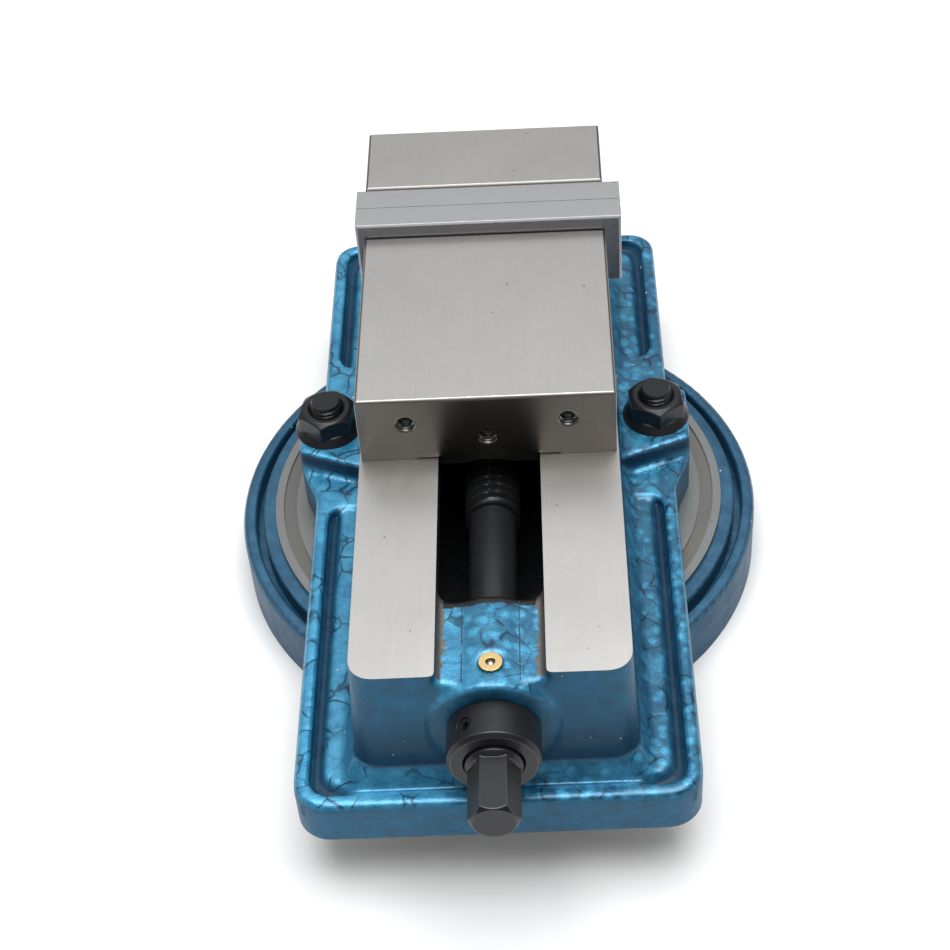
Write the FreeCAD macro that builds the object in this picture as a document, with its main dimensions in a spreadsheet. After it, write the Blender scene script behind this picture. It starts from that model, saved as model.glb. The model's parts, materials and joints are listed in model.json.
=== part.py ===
import FreeCAD, Part

import os
import re
from FreeCAD import Rotation, Vector

# Machine vise on a swivel base, 100 mm jaws, millimetres.
# +X runs across the jaws, +Y from the screw's handle end to the fixed jaw, +Z up.
# The origin is on the swivel axis, on the underside of the swivel base.

DIMENSIONS = {
    # alias: (value, meaning)
    "base_radius": (101.0, "outer radius of the swivel base"),
    "base_lip_top": (24.0, "height of the painted outer lip"),
    "base_lip_round": (2.5, "rounding of the outer lip"),
    "base_edge_round": (1.2, "rounding of the drain groove's edges"),
    "groove_outer": (95.8, "outer radius of the painted drain groove"),
    "groove_inner": (93.1, "inner radius of the painted drain groove"),
    "groove_floor": (17.0, "height of the drain groove's floor"),
    "shelf_top": (25.0, "height of the painted ring inside the groove"),
    "rim_outer": (87.8, "outer radius of the ground rim"),
    "rim_inner": (84.6, "inner radius of the ground rim"),
    "scale_floor": (26.2, "height of the scale ring, just under the rim"),
    "seat_outer": (79.5, "outer radius of the seat under the bed"),
    "seat_top": (27.0, "height of the ground seat, the parting plane of bed and base"),
    "slot_centre": (64.9, "centre radius of the circular T-slot"),
    "slot_neck_half": (7.2, "half width of the T-slot's neck"),
    "slot_wide_half": (11.5, "half width of the T-slot's undercut"),
    "slot_floor": (8.0, "height of the T-slot's floor"),
    "slot_shoulder": (17.0, "height of the T-slot's shoulder"),
    "ear_reach": (111.6, "distance of each ear's centre from the swivel axis"),
    "ear_radius": (24.0, "radius of each ear"),
    "ear_top": (14.0, "height of the ears"),
    "ear_root": (72.0, "half width of the ears where they join the disc"),
    "ear_slot_half": (7.0, "half width of the hold-down slots"),
    "ear_slot_length": (28.0, "end to end length of the hold-down slots"),
    "pivot_radius": (10.0, "radius of the pivot pin"),
    "pivot_foot": (5.0, "height of the pivot pin's foot"),
    "pivot_top": (39.0, "height of the pivot pin's top"),
    "running_gap": (0.05, "radial clearance of a running fit"),
    "flange_half": (69.0, "half width of the bed's flange"),
    "flange_front": (162.5, "distance of the flange's front from the swivel axis"),
    "flange_rear": (136.5, "distance of the flange's rear from the swivel axis"),
    "flange_round_front": (12.0, "corner radius of the flange's front"),
    "flange_round_rear": (10.0, "corner radius of the flange's rear"),
    "bead_top": (45.0, "height of the bead around the flange"),
    "bead_width": (5.5, "width of the bead"),
    "bead_round": (2.4, "rounding of the bead's outer edge"),
    "tray_floor": (43.6, "height of the tray's floor"),
    "tray_corner": (7.0, "corner radius of the tray"),
    "gutter_floor": (40.2, "height of the floor of the gutter along the bead"),
    "gutter_width": (4.2, "width of the gutter along the bead"),
    "shelf_front": (23.0, "where the front tray ends, before the lugs"),
    "shelf_rear": (55.0, "where the rear tray starts, behind the lugs"),
    "lug_half": (75.5, "half width over the lugs"),
    "lug_top": (53.5, "height of the nut seats on the lugs"),
    "lug_tip_half": (13.4, "half length of a lug at its outer side"),
    "lug_root_half": (26.5, "half length of a lug where it meets the wall"),
    "bolt_left": (64.6, "distance of the left clamp bolt from the centre plane"),
    "bolt_right": (63.0, "distance of the right clamp bolt from the centre plane"),
    "bolt_along": (12.0, "distance of the clamp bolts behind the swivel axis"),
    "bolt_radius": (6.0, "radius of the clamp bolts"),
    "bolt_hole": (6.75, "radius of the bolt holes in the lugs"),
    "bolt_top": (67.2, "height of the clamp bolts' ends"),
    "bolt_head_long": (8.6, "half length of the clamp bolts' heads, across the vise"),
    "bolt_head_wide": (8.0, "half width of the clamp bolts' heads, along the vise"),
    "way_top": (94.0, "height of the ground ways"),
    "way_half": (45.8, "half width over the ways"),
    "way_front": (148.0, "distance of the ways' front from the swivel axis"),
    "way_rear": (101.5, "distance of the ways' rear from the swivel axis"),
    "way_round": (8.0, "corner radius of the bed's walls"),
    "wall_foot": (30.0, "height where the walls end inside the flange"),
    "wall_draft": (3.4, "how far the walls lean out at their foot"),
    "foot_top": (50.5, "height where the walls' foot starts to spread"),
    "foot_low": (42.0, "height of the foot's underside, inside the flange"),
    "foot_low_reach": (7.8, "how far the foot stands out from the ways at its underside"),
    "slot_half": (18.0, "half width of the slot between the ways"),
    "slot_front": (112.0, "distance of the slot's front end from the swivel axis"),
    "slot_rear": (64.0, "distance of the slot's rear end from the swivel axis"),
    "slot_round": (5.0, "corner radius of the slot's front end"),
    "channel_half": (26.0, "half width of the channel under the ways"),
    "channel_top": (80.0, "height of the channel's ceiling"),
    "channel_floor": (44.0, "height of the channel's floor"),
    "bridge_top": (89.6, "height of the bridge over the screw"),
    "hump_radius": (21.6, "radius of the round housing over the screw"),
    "hump_front": (151.3, "distance of the housing's front from the swivel axis"),
    "screw_height": (70.0, "height of the screw's axis"),
    "thread_radius": (10.0, "outer radius of the screw's thread"),
    "thread_front": (58.5, "distance of the thread's front end from the swivel axis"),
    "screw_rear": (60.0, "distance of the screw's rear end from the swivel axis"),
    "shank_radius": (8.5, "radius of the screw's plain shank"),
    "journal_radius": (9.5, "radius of the screw's journal"),
    "journal_front": (168.0, "distance of the journal's front from the swivel axis"),
    "screw_front": (188.4, "distance of the hexagon's front from the swivel axis"),
    "hexagon_flat": (15.0, "size across the flats of the screw's hexagon"),
    "collar_radius": (15.5, "outer radius of the screw's collar"),
    "collar_front": (165.8, "distance of the collar's front from the swivel axis"),
    "collar_back": (151.8, "distance of the collar's back from the swivel axis"),
    "collar_chamfer": (1.4, "chamfer of the collar's front edge"),
    "bush_radius": (12.5, "outer radius of the bronze bush"),
    "bush_back": (129.0, "distance of the bush's back from the swivel axis"),
    "thrust_radius": (15.6, "radius of the thrust races and of the screw's flange"),
    "thrust_bore": (16.2, "radius of the thrust bearing's housing"),
    "race_thick": (2.5, "thickness of a thrust race"),
    "cage_space": (4.0, "space between the races, which is the balls' size"),
    "cage_half": (0.8, "half thickness of the balls' cage"),
    "flange_thick": (6.0, "thickness of the screw's flange"),
    "jaw_half": (45.3, "half width of both jaws"),
    "plate_half": (50.0, "half width of the jaw plates"),
    "plate_shift": (1.5, "how far the jaw plates sit to the right of the centre plane"),
    "plate_thick": (11.2, "thickness of the jaw plates"),
    "plate_foot": (97.0, "height of the jaw plates' lower edge"),
    "plate_top": (127.5, "height of the jaw plates' upper edge"),
    "plate_screw_across": (30.0, "distance of the plate screws from the centre plane"),
    "plate_screw_height": (112.0, "height of the plate screws"),
    "plate_screw_radius": (4.0, "radius of the plate screws"),
    "plate_head_radius": (6.5, "radius of the plate screws' heads"),
    "plate_head_thick": (6.6, "height of the plate screws' heads"),
    "plate_screw_reach": (20.0, "length of the plate screws under the head"),
    "plate_screw_spare": (1.5, "depth of the plate screws' holes past their ends"),
    "plate_head_sunk": (0.3, "how far the plate screws' heads lie under the face"),
    "plate_socket": (6.0, "size across the flats of the plate screws' sockets"),
    "plate_socket_deep": (4.0, "depth of the plate screws' sockets"),
    "moving_front": (49.0, "distance of the movable jaw's front from the swivel axis"),
    "moving_back": (41.8, "distance of the movable jaw's back from the swivel axis"),
    "moving_top": (122.1, "height of the movable jaw"),
    "moving_gap": (0.05, "oil film between the movable jaw and the ways"),
    "tongue_half": (17.8, "half width of the tongue between the ways"),
    "tongue_foot": (91.0, "height of the tongue's underside"),
    "fixed_front": (64.4, "distance of the fixed jaw's front from the swivel axis"),
    "fixed_back": (100.8, "distance of the fixed jaw's back from the swivel axis"),
    "fixed_top": (127.9, "height of the fixed jaw"),
    "jaw_chamfer": (0.8, "chamfer of the jaws' top edges"),
    "stop_across": (28.3, "distance of the stop holes from the centre plane"),
    "stop_height": (110.8, "height of the stop holes"),
    "stop_radius": (3.0, "radius of the stop holes"),
    "stop_mouth": (3.7, "radius of the countersinks"),
    "stop_depth": (16.0, "depth of the stop holes"),
    "lock_height": (103.5, "height of the jaw's lock screw"),
    "lock_sunk": (7.0, "how deep the lock screw sits under the jaw's face"),
    "lock_socket_deep": (3.0, "depth of the set screws' sockets"),
    "lock_socket": (3.0, "size across the flats of the set screws' sockets"),
    "relief_across": (21.4, "distance of the oil relief slits from the centre plane"),
    "relief_half": (4.0, "half width of the oil relief slits"),
    "relief_high": (0.5, "height of the oil relief slits"),
    "hump_rise": (18.0, "rise of the nut's hump over its block"),
    "hump_root": (12.0, "length of the hump at its root"),
    "hump_half": (15.0, "half width of the nut's hump"),
    "nut_front": (2.0, "distance of the nut's front from the swivel axis"),
    "nut_back": (58.0, "distance of the nut's back from the swivel axis"),
    "nut_top": (90.6, "height of the nut's block"),
    "nut_foot": (52.0, "height of the nut's underside"),
    "nut_ear_foot": (60.0, "height of the nut's ears"),
    "nut_ear_half": (25.7, "half width over the nut's ears"),
    "ball_radius": (8.0, "radius of the half ball"),
    "key_along": (72.0, "distance of the fixed jaw's key from the swivel axis"),
    "key_half": (5.0, "half width of the key"),
    "key_reach": (40.0, "half length of the key"),
    "key_deep": (4.0, "depth of the key in the bed and in the jaw"),
    "seat_bolt_across": (35.0, "distance of the fixed jaw's bolts from the centre plane"),
    "seat_bolt_along": (88.0, "distance of the fixed jaw's bolts from the swivel axis"),
    "seat_head_foot": (48.0, "height of the fixed jaw bolts' heads"),
    "seat_head_thick": (12.0, "height of the heads"),
    "seat_head_radius": (9.0, "radius of the heads"),
    "seat_socket": (10.0, "size across the flats of their sockets"),
    "seat_socket_deep": (6.0, "depth of their sockets"),
    "seat_bolt_top": (112.0, "height of the fixed jaw bolts' ends"),
    "oiler_along": (140.8, "distance of the oiler from the swivel axis"),
    "oiler_radius": (3.9, "radius of the oiler"),
    "oiler_foot": (83.2, "height of the oiler's foot"),
    "oiler_top": (91.9, "height of the oiler's rim"),
    "oiler_ball": (1.9, "radius of the oiler's ball"),
    "oiler_lip": (1.2, "thickness of the rim that holds the oiler's ball"),
    "oiler_mouth": (1.6, "radius of the hole over the ball"),
    "oiler_room": (2.25, "radius of the chamber under the rim"),
    "oiler_seat": (0.85, "how far the ball reaches into the rim"),
    "coil_radius": (1.45, "radius of the oiler's spring"),
    "coil_wire": (0.2, "radius of the spring's wire"),
    "coil_pitch": (0.9, "rise of the spring in one turn"),
    "coil_height": (3.2, "height of the spring"),
    "coil_foot": (1.35, "height of the spring's foot over the oiler's foot"),
    "nut_flange_radius": (13.1, "radius of the clamp nut's round flange"),
    "nut_flange_thick": (3.2, "thickness of the clamp nut's round flange"),
    "clamp_nut_flat": (20.0, "size across the flats of the clamp nut"),
    "clamp_nut_thick": (10.4, "height of the clamp nut with its flange"),
    "nut_flange_slope": (2.6, "how far the nut's flange narrows to its top"),
    "nut_mouth": (7.2, "radius of the countersink in the nut's top"),
    "fine_gap": (0.3, "clearance of parts that don't touch"),
    "past": (1.0, "how far a cutting tool reaches past the face it cuts"),
}

BALL_COUNT = 12
NUT_TURN = {"left": 20, "right": 36}

document = FreeCAD.newDocument("machine_vise")
sheet = document.addObject("Spreadsheet::Sheet", "Dims")
for row, (alias, (value, meaning)) in enumerate(DIMENSIONS.items(), start=1):
    sheet.set(f"A{row}", meaning)
    sheet.set(f"B{row}", str(value))
    sheet.setAlias(f"B{row}", alias)
document.recompute()

ALONG_Y = Rotation(Vector(1, 0, 0), -90)
AGAINST_Y = Rotation(Vector(1, 0, 0), 90)
UPRIGHT = Rotation()
COLLAR_SCREW_TURN = Rotation(Vector(0, 1, 0), -37)
HALF_BALL_TURN = Rotation(Vector(1, 0, 0), -135)
EVERYWHERE = ("0", "0", "0")
LEFT_AND_RIGHT = (("left", "-"), ("right", ""))


def formula(text):
    """Turn the plain aliases in a formula into references to the sheet."""
    def reference(match):
        word = match.group(0)
        return f"Dims.{word}" if word in DIMENSIONS else word
    return re.sub(r"[a-z_]{3,}", reference, text)


def place(thing, at, turn):
    """Put an object at a point given by three formulas."""
    thing.Placement = FreeCAD.Placement(Vector(), turn)
    for axis, text in zip("xyz", at):
        thing.setExpression(f"Placement.Base.{axis}", formula(text))


def primitive(kind, name, sizes, at=EVERYWHERE, turn=UPRIGHT):
    """Add a Part primitive whose sizes and place are formulas on the sheet."""
    thing = document.addObject(f"Part::{kind}", name)
    for size, text in sizes.items():
        thing.setExpression(size, formula(text))
    place(thing, at, turn)
    return thing


def block(name, x, y, z):
    """Add a box between two formulas along each axis."""
    sizes = {
        "Length": f"({x[1]}) - ({x[0]})",
        "Width": f"({y[1]}) - ({y[0]})",
        "Height": f"({z[1]}) - ({z[0]})",
    }
    return primitive("Box", name, sizes, (x[0], y[0], z[0]))


def wide_block(name, half, y, z):
    """Add a box that is symmetrical about the centre plane."""
    return block(name, (f"-({half})", half), y, z)


def upright(name, radius, z, at=("0", "0")):
    """Add a cylinder along Z."""
    sizes = {"Radius": radius, "Height": f"({z[1]}) - ({z[0]})"}
    return primitive("Cylinder", name, sizes, (at[0], at[1], z[0]))


def lengthwise(name, radius, y, at=("0", "screw_height")):
    """Add a cylinder along Y."""
    sizes = {"Radius": radius, "Height": f"({y[1]}) - ({y[0]})"}
    return primitive("Cylinder", name, sizes, (at[0], y[0], at[1]), ALONG_Y)


def frustum(name, z, foot, head):
    """Add a tapered block: foot and head are the four plan formulas x0, x1, y0, y1."""
    thing = document.addObject("Part::Wedge", name)
    sizes = {
        "Ymin": z[0], "Ymax": z[1],
        "Xmin": foot[0], "Xmax": foot[1], "Zmin": f"-({foot[3]})", "Zmax": f"-({foot[2]})",
        "X2min": head[0], "X2max": head[1], "Z2min": f"-({head[3]})", "Z2max": f"-({head[2]})",
    }
    for size, text in sizes.items():
        thing.setExpression(size, formula(text))
    place(thing, EVERYWHERE, AGAINST_Y)
    return thing


def side_taper(name, side, x, root, tip, z):
    """Add a block that narrows from the root to the tip, out from the centre plane."""
    thing = document.addObject("Part::Wedge", name)
    sizes = {
        "Ymin": x[0], "Ymax": x[1],
        "Xmin": f"-({root})", "Xmax": root, "Zmin": z[0], "Zmax": z[1],
        "X2min": f"-({tip})", "X2max": tip, "Z2min": z[0], "Z2max": z[1],
    }
    for size, text in sizes.items():
        thing.setExpression(size, formula(text))
    turn = Rotation(Vector(0, 0, 1), 90 if side == "left" else -90)
    place(thing, ("0", "bolt_along", "0"), turn)
    return thing


def join(name, things):
    """Fuse objects into one."""
    whole = document.addObject("Part::MultiFuse", name)
    whole.Shapes = things
    whole.Refine = True
    return whole


def cut(name, whole, tools):
    """Cut one or more objects out of another."""
    tool = tools[0] if len(tools) == 1 else join(f"{name}_tools", tools)
    result = document.addObject("Part::Cut", name)
    result.Base = whole
    result.Tool = tool
    result.Refine = True
    return result


def group(name, things):
    """Keep identical fasteners as separate solids of one node."""
    whole = document.addObject("Part::Compound", name)
    whole.Links = things
    return whole


def round_edges(name, whole, alias, chosen, kind="Fillet"):
    """Round or chamfer the edges that a test picks, by a size on the sheet."""
    document.recompute()
    size = DIMENSIONS[alias][0]
    picked = [n for n, edge in enumerate(whole.Shape.Edges, start=1) if chosen(edge)]
    if not picked:
        raise RuntimeError(f"{name}: no edge to round")
    result = document.addObject(f"Part::{kind}", name)
    result.Base = whole
    result.Edges = [(n, size, size) for n in picked]
    return result


def is_upright(edge):
    """Tell whether a straight edge runs mostly along Z."""
    if len(edge.Vertexes) < 2 or edge.Curve.TypeId != "Part::GeomLine":
        return False
    run = edge.Vertexes[-1].Point - edge.Vertexes[0].Point
    return abs(run.z) > 0.5 * run.Length


def is_circle(edge, radius_alias, height_alias):
    """Tell whether an edge is a level circle of that radius and height."""
    return (edge.Curve.TypeId == "Part::GeomCircle"
            and abs(edge.Curve.Radius - DIMENSIONS[radius_alias][0]) < 1e-6
            and abs(edge.CenterOfMass.z - DIMENSIONS[height_alias][0]) < 1e-6)


def is_level_at(height):
    """Make a test for edges that lie in one level plane."""
    def test(edge):
        return all(abs(vertex.Z - height) < 1e-6 for vertex in edge.Vertexes) and (
            edge.BoundBox.ZLength < 1e-6)
    return test


def finish(thing, label):
    """Give a finished sub-part the name of its node."""
    thing.Label = label
    sub_parts.append(thing)
    return thing


def ring(name, outer, inner, z):
    """Add an upright ring."""
    return cut(name, upright(f"{name}_disc", outer, z), [
        upright(f"{name}_hole", inner, (f"({z[0]}) - past", f"({z[1]}) + past"))])


def tube(name, outer, inner, y):
    """Add a ring along the screw."""
    return cut(name, lengthwise(f"{name}_rod", outer, y), [
        lengthwise(f"{name}_hole", inner, (f"({y[0]}) - past", f"({y[1]}) + past"))])


def hexagon(name, flat, height, at, turn=UPRIGHT):
    """Add a six-sided prism by its size across the flats."""
    prism = document.addObject("Part::Prism", name)
    prism.Polygon = 6
    prism.setExpression("Circumradius", formula(f"({flat}) / sqrt(3)"))
    prism.setExpression("Height", formula(height))
    place(prism, at, turn)
    return prism


sub_parts = []


def build_swivel_base():
    """Round casting with lip, drain groove, ground seat, circular T-slot and two ears."""
    disc = upright("base_disc", "base_radius", ("0", "base_lip_top"))
    disc = round_edges("base_disc_round", disc, "base_lip_round",
                       is_level_at(DIMENSIONS["base_lip_top"][0]))
    disc = cut("base_outer", disc, [
        upright("groove_bore", "groove_outer", ("groove_floor", "base_lip_top + past"))])
    disc = round_edges("base_lip", disc, "base_edge_round",
                       lambda edge: is_circle(edge, "groove_outer", "base_lip_top"))
    land = upright("base_land_disc", "groove_inner", ("0", "shelf_top"))
    land = round_edges("base_land", land, "base_edge_round",
                       lambda edge: is_circle(edge, "groove_inner", "shelf_top"))
    pieces = [disc, land, upright("base_seat", "rim_outer", ("0", "seat_top"))]
    for end, sign, front in (("front", "-", True), ("rear", "", False)):
        reach = f"{sign}ear_reach"
        tip = ("-ear_radius", "ear_radius")
        root = ("-ear_root", "ear_root")
        pieces.append(upright(f"ear_{end}_tip", "ear_radius", ("0", "ear_top"), ("0", reach)))
        web = document.addObject("Part::Wedge", f"ear_{end}_web")
        sizes = {"Xmin": root[0], "Xmax": root[1], "X2min": tip[0], "X2max": tip[1],
                 "Ymin": "ear_root", "Ymax": "ear_reach + ear_radius * 0.4",
                 "Zmin": "0", "Zmax": "ear_top", "Z2min": "0", "Z2max": "ear_top"}
        for size, text in sizes.items():
            web.setExpression(size, formula(text))
        place(web, EVERYWHERE, Rotation(Vector(0, 0, 1), 180) if front else UPRIGHT)
        pieces.append(web)
    tools = [
        ring("base_scale", "rim_inner", "seat_outer", ("scale_floor", "seat_top + past")),
        ring("slot_neck", "slot_centre + slot_neck_half", "slot_centre - slot_neck_half",
             ("slot_floor", "seat_top + past")),
        ring("slot_wide", "slot_centre + slot_wide_half", "slot_centre - slot_wide_half",
             ("slot_floor", "slot_shoulder")),
        upright("pivot_seat", "pivot_radius", ("pivot_foot", "seat_top + past")),
        upright("pivot_drain", "pivot_radius / 2", ("-past", "pivot_foot + past")),
    ]
    for end, sign in (("front", "-"), ("rear", "")):
        half_run = "(ear_slot_length / 2 - ear_slot_half)"
        middle = f"{sign}ear_reach"
        tools.append(wide_block(f"{end}_slot_run", "ear_slot_half",
                                (f"{middle} - {half_run}", f"{middle} + {half_run}"),
                                ("-past", "ear_top + past")))
        for tip, step in (("near", "-"), ("far", "+")):
            tools.append(upright(f"{end}_slot_{tip}", "ear_slot_half", ("-past", "ear_top + past"),
                                 ("0", f"{middle} {step} {half_run}")))
    return finish(cut("swivel_base", join("base_casting", pieces), tools), "swivel_base")


def tray_pocket(name, inset, y, floor):
    """Add a round-cornered tool for the trays, from a floor up past the bead."""
    half = f"flange_half - bead_width - {inset}"
    tool = wide_block(f"{name}_block", half, y, (floor, "bead_top + 5 * past"))
    return round_edges(name, tool, "tray_corner", is_upright)


def wall_block(name, low, high):
    """Add a tapered block round the ways: low and high are a height and a reach past the ways."""
    plans = []
    for _, reach in (low, high):
        plans.append((f"-way_half - {reach}", f"way_half + {reach}",
                      f"-way_front - {reach}", f"way_rear + {reach}"))
    return round_edges(name, frustum(f"{name}_block", (low[0], high[0]), *plans),
                       "way_round", is_upright)


def build_vise_body():
    """Bed casting: flange with bead and trays, lugs, walls, ways, slot and screw housing."""
    flange = wide_block("flange_block", "flange_half", ("-flange_front", "flange_rear"),
                        ("seat_top", "bead_top"))
    flange = round_edges("flange_front_round", flange, "flange_round_front",
                         lambda edge: is_upright(edge) and edge.CenterOfMass.y < 0)
    flange = round_edges("flange_rear_round", flange, "flange_round_rear",
                         lambda edge: is_upright(edge) and edge.CenterOfMass.y > 100)
    flange = round_edges("flange_bead", flange, "bead_round",
                         is_level_at(DIMENSIONS["bead_top"][0]))
    trays = []
    for end, y in (("front", ("bead_width - flange_front", "-shelf_front")),
                   ("rear", ("shelf_rear", "flange_rear - bead_width"))):
        trays.append(tray_pocket(f"{end}_tray", "0", y, "tray_floor"))
        inner_y = (f"{y[0]} + gutter_width", f"{y[1]} + gutter_width")
        if end == "rear":
            inner_y = (f"{y[0]} - gutter_width", f"{y[1]} - gutter_width")
        island = tray_pocket(f"{end}_island", "gutter_width", inner_y, "gutter_floor - past")
        trays.append(cut(f"{end}_gutter", tray_pocket(f"{end}_gutter_block", "0", y, "gutter_floor"),
                         [island]))
    flange = cut("flange", flange, trays)

    lean = "(wall_draft * (way_top - foot_top) / (way_top - wall_foot))"
    wall = wall_block("wall", ("wall_foot", "wall_draft"), ("way_top", "0"))
    foot = wall_block("foot", ("foot_low", "foot_low_reach"), ("foot_top", lean))
    housing = lengthwise("housing", "hump_radius", ("-hump_front", "2 * past - slot_front"))
    pieces = [flange, wall, foot, housing]
    for side, _ in LEFT_AND_RIGHT:
        pieces.append(side_taper(f"{side}_lug", side, ("way_half - 4", "lug_half"),
                                 "lug_root_half", "lug_tip_half", ("seat_top", "lug_top")))
        pieces.append(side_taper(f"{side}_flare", side, ("flange_half - 2", "lug_half"),
                                 "lug_tip_half + 22", "lug_tip_half", ("seat_top", "bead_top - 0.6")))
    casting = join("bed_casting", pieces)

    slot = wide_block("slot_block", "slot_half", ("-slot_front", "slot_rear"),
                      ("channel_floor", "way_top + 10"))
    slot = round_edges("bed_slot", slot, "slot_round", is_upright)
    tools = [
        slot,
        wide_block("channel", "channel_half", ("slot_round - slot_front", "slot_rear"),
                   ("channel_floor", "channel_top")),
        cut("bridge_gap", wide_block("bridge_cut", "slot_half", ("-way_front - 5", "slot_round - slot_front"),
                                     ("bridge_top", "way_top + 10")),
            [lengthwise("hump_keep", "hump_radius", ("-hump_front - 5", "past - slot_front"))]),
        lengthwise("bush_seat", "bush_radius", ("-hump_front - past", "-bush_back")),
        lengthwise("thrust_seat", "thrust_bore", ("-bush_back", "past - slot_front")),
        upright("oiler_seat", "oiler_radius", ("screw_height + bush_radius - past", "way_top"),
                ("0", "-oiler_along")),
        upright("pivot_bore", "pivot_radius + running_gap", ("seat_top - past", "pivot_top + 0.6")),
        wide_block("key_seat_bed", "key_reach", ("key_along - key_half", "key_along + key_half"),
                   ("way_top - key_deep", "way_top + past")),
    ]
    for side, sign in LEFT_AND_RIGHT:
        tools.append(upright(f"{side}_bolt_hole", "bolt_hole", ("seat_top - past", "lug_top + past"),
                             (f"{sign}bolt_{side}", "bolt_along")))
        at = (f"{sign}seat_bolt_across", "seat_bolt_along")
        tools.append(upright(f"{side}_seat_hole", "bolt_radius + 0.5",
                             ("seat_head_foot", "way_top + past"), at))
        tools.append(upright(f"{side}_seat_pocket", "seat_head_radius + 0.5",
                             ("seat_top - past", "seat_head_foot + seat_head_thick"), at))
    return finish(cut("vise_body", casting, tools), "vise_body")


def build_pivot_pin():
    """Pin pressed into the base, on which the bed turns."""
    pin = upright("pivot_pin_rod", "pivot_radius", ("pivot_foot", "pivot_top"))
    return finish(round_edges("pivot_pin", pin, "collar_chamfer",
                              is_level_at(DIMENSIONS["pivot_top"][0]), "Chamfer"), "pivot_pin")


def build_clamp_bolts():
    """Two T-bolts that hang in the base's circular slot."""
    bolts = []
    for side, sign in LEFT_AND_RIGHT:
        x, y = f"{sign}bolt_{side}", "bolt_along"
        head = block(f"{side}_bolt_head", (f"{x} - bolt_head_long", f"{x} + bolt_head_long"),
                     (f"{y} - bolt_head_wide", f"{y} + bolt_head_wide"),
                     ("slot_floor + fine_gap", "slot_shoulder - fine_gap"))
        shank = upright(f"{side}_bolt_rod", "bolt_radius", ("slot_floor + past", "bolt_top"), (x, y))
        shank = round_edges(f"{side}_bolt_shank", shank, "collar_chamfer",
                            is_level_at(DIMENSIONS["bolt_top"][0]), "Chamfer")
        bolts.append(join(f"{side}_clamp_bolt", [head, shank]))
    return finish(group("clamp_bolts", bolts), "clamp_bolts")


def build_clamp_nut(side, sign):
    """Hexagon nut with a round flange and a chamfered top."""
    at = (f"{sign}bolt_{side}", "bolt_along")
    body = hexagon(f"{side}_nut_body", "clamp_nut_flat", "clamp_nut_thick",
                   (at[0], at[1], "lug_top"))
    body.Placement.Rotation = Rotation(Vector(0, 0, 1), NUT_TURN[side])
    cone = primitive("Cone", f"{side}_nut_crown",
                     {"Radius1": "clamp_nut_flat / 2 + 14", "Radius2": "clamp_nut_flat / 2 - 1",
                      "Height": "clamp_nut_thick"}, (at[0], at[1], "lug_top"))
    crown = document.addObject("Part::Common", f"{side}_nut_crowned")
    crown.Base = body
    crown.Tool = cone
    flange = primitive("Cone", f"{side}_nut_flange",
                       {"Radius1": "nut_flange_radius", "Radius2": "nut_flange_radius - nut_flange_slope",
                        "Height": "nut_flange_thick"}, (at[0], at[1], "lug_top"))
    bore = upright(f"{side}_nut_bore", "bolt_radius + running_gap",
                   ("lug_top - past", "lug_top + clamp_nut_thick + past"), at)
    top = "(lug_top + clamp_nut_thick)"
    deep = "(nut_mouth - bolt_radius - running_gap)"
    mouth = primitive("Cone", f"{side}_nut_mouth",
                      {"Radius1": "bolt_radius + running_gap", "Radius2": "nut_mouth", "Height": deep},
                      (at[0], at[1], f"{top} - {deep}"))
    name = f"clamp_nut_{side}"
    return finish(cut(name, join(f"{side}_nut_blank", [crown, flange]), [bore, mouth]), name)


plate_screw_room = "(plate_head_sunk + plate_head_thick + plate_screw_reach + plate_screw_spare)"


def build_fixed_jaw():
    """Ground block bolted to the bed from below."""
    jaw = wide_block("fixed_jaw_block", "jaw_half", ("fixed_front", "fixed_back"),
                     ("way_top", "fixed_top"))
    jaw = round_edges("fixed_jaw_edges", jaw, "jaw_chamfer",
                      is_level_at(DIMENSIONS["fixed_top"][0]), "Chamfer")
    tools = [wide_block("key_seat_jaw", "key_reach", ("key_along - key_half", "key_along + key_half"),
                        ("way_top - past", "way_top + key_deep"))]
    for side, sign in LEFT_AND_RIGHT:
        tools.append(upright(f"{side}_jaw_bolt_hole", "bolt_radius + running_gap",
                             ("way_top - past", "seat_bolt_top + fine_gap"),
                             (f"{sign}seat_bolt_across", "seat_bolt_along")))
        tools.append(lengthwise(f"{side}_fixed_plate_hole", "plate_screw_radius + running_gap",
                                ("fixed_front - past", f"fixed_front - plate_thick + {plate_screw_room}"),
                                (f"{sign}plate_screw_across", "plate_screw_height")))
    return finish(cut("fixed_jaw", jaw, tools), "fixed_jaw")


def build_fixed_jaw_key():
    """Cross key that takes the clamping load between the bed and the fixed jaw."""
    key = wide_block("fixed_jaw_key", "key_reach", ("key_along - key_half", "key_along + key_half"),
                     ("way_top - key_deep", "way_top + key_deep"))
    return finish(key, "fixed_jaw_key")


def build_fixed_jaw_bolts():
    """Two socket cap screws that pull the fixed jaw down from below the bed."""
    bolts = []
    for side, sign in LEFT_AND_RIGHT:
        at = (f"{sign}seat_bolt_across", "seat_bolt_along")
        head = upright(f"{side}_cap_head", "seat_head_radius",
                       ("seat_head_foot", "seat_head_foot + seat_head_thick"), at)
        rod = upright(f"{side}_cap_rod", "bolt_radius", ("seat_head_foot + past", "seat_bolt_top"), at)
        socket = hexagon(f"{side}_cap_socket", "seat_socket", "seat_socket_deep + past",
                         (at[0], at[1], "seat_head_foot - past"))
        bolts.append(cut(f"{side}_cap_screw", join(f"{side}_cap_blank", [head, rod]), [socket]))
    return finish(group("fixed_jaw_bolts", bolts), "fixed_jaw_bolts")


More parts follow.
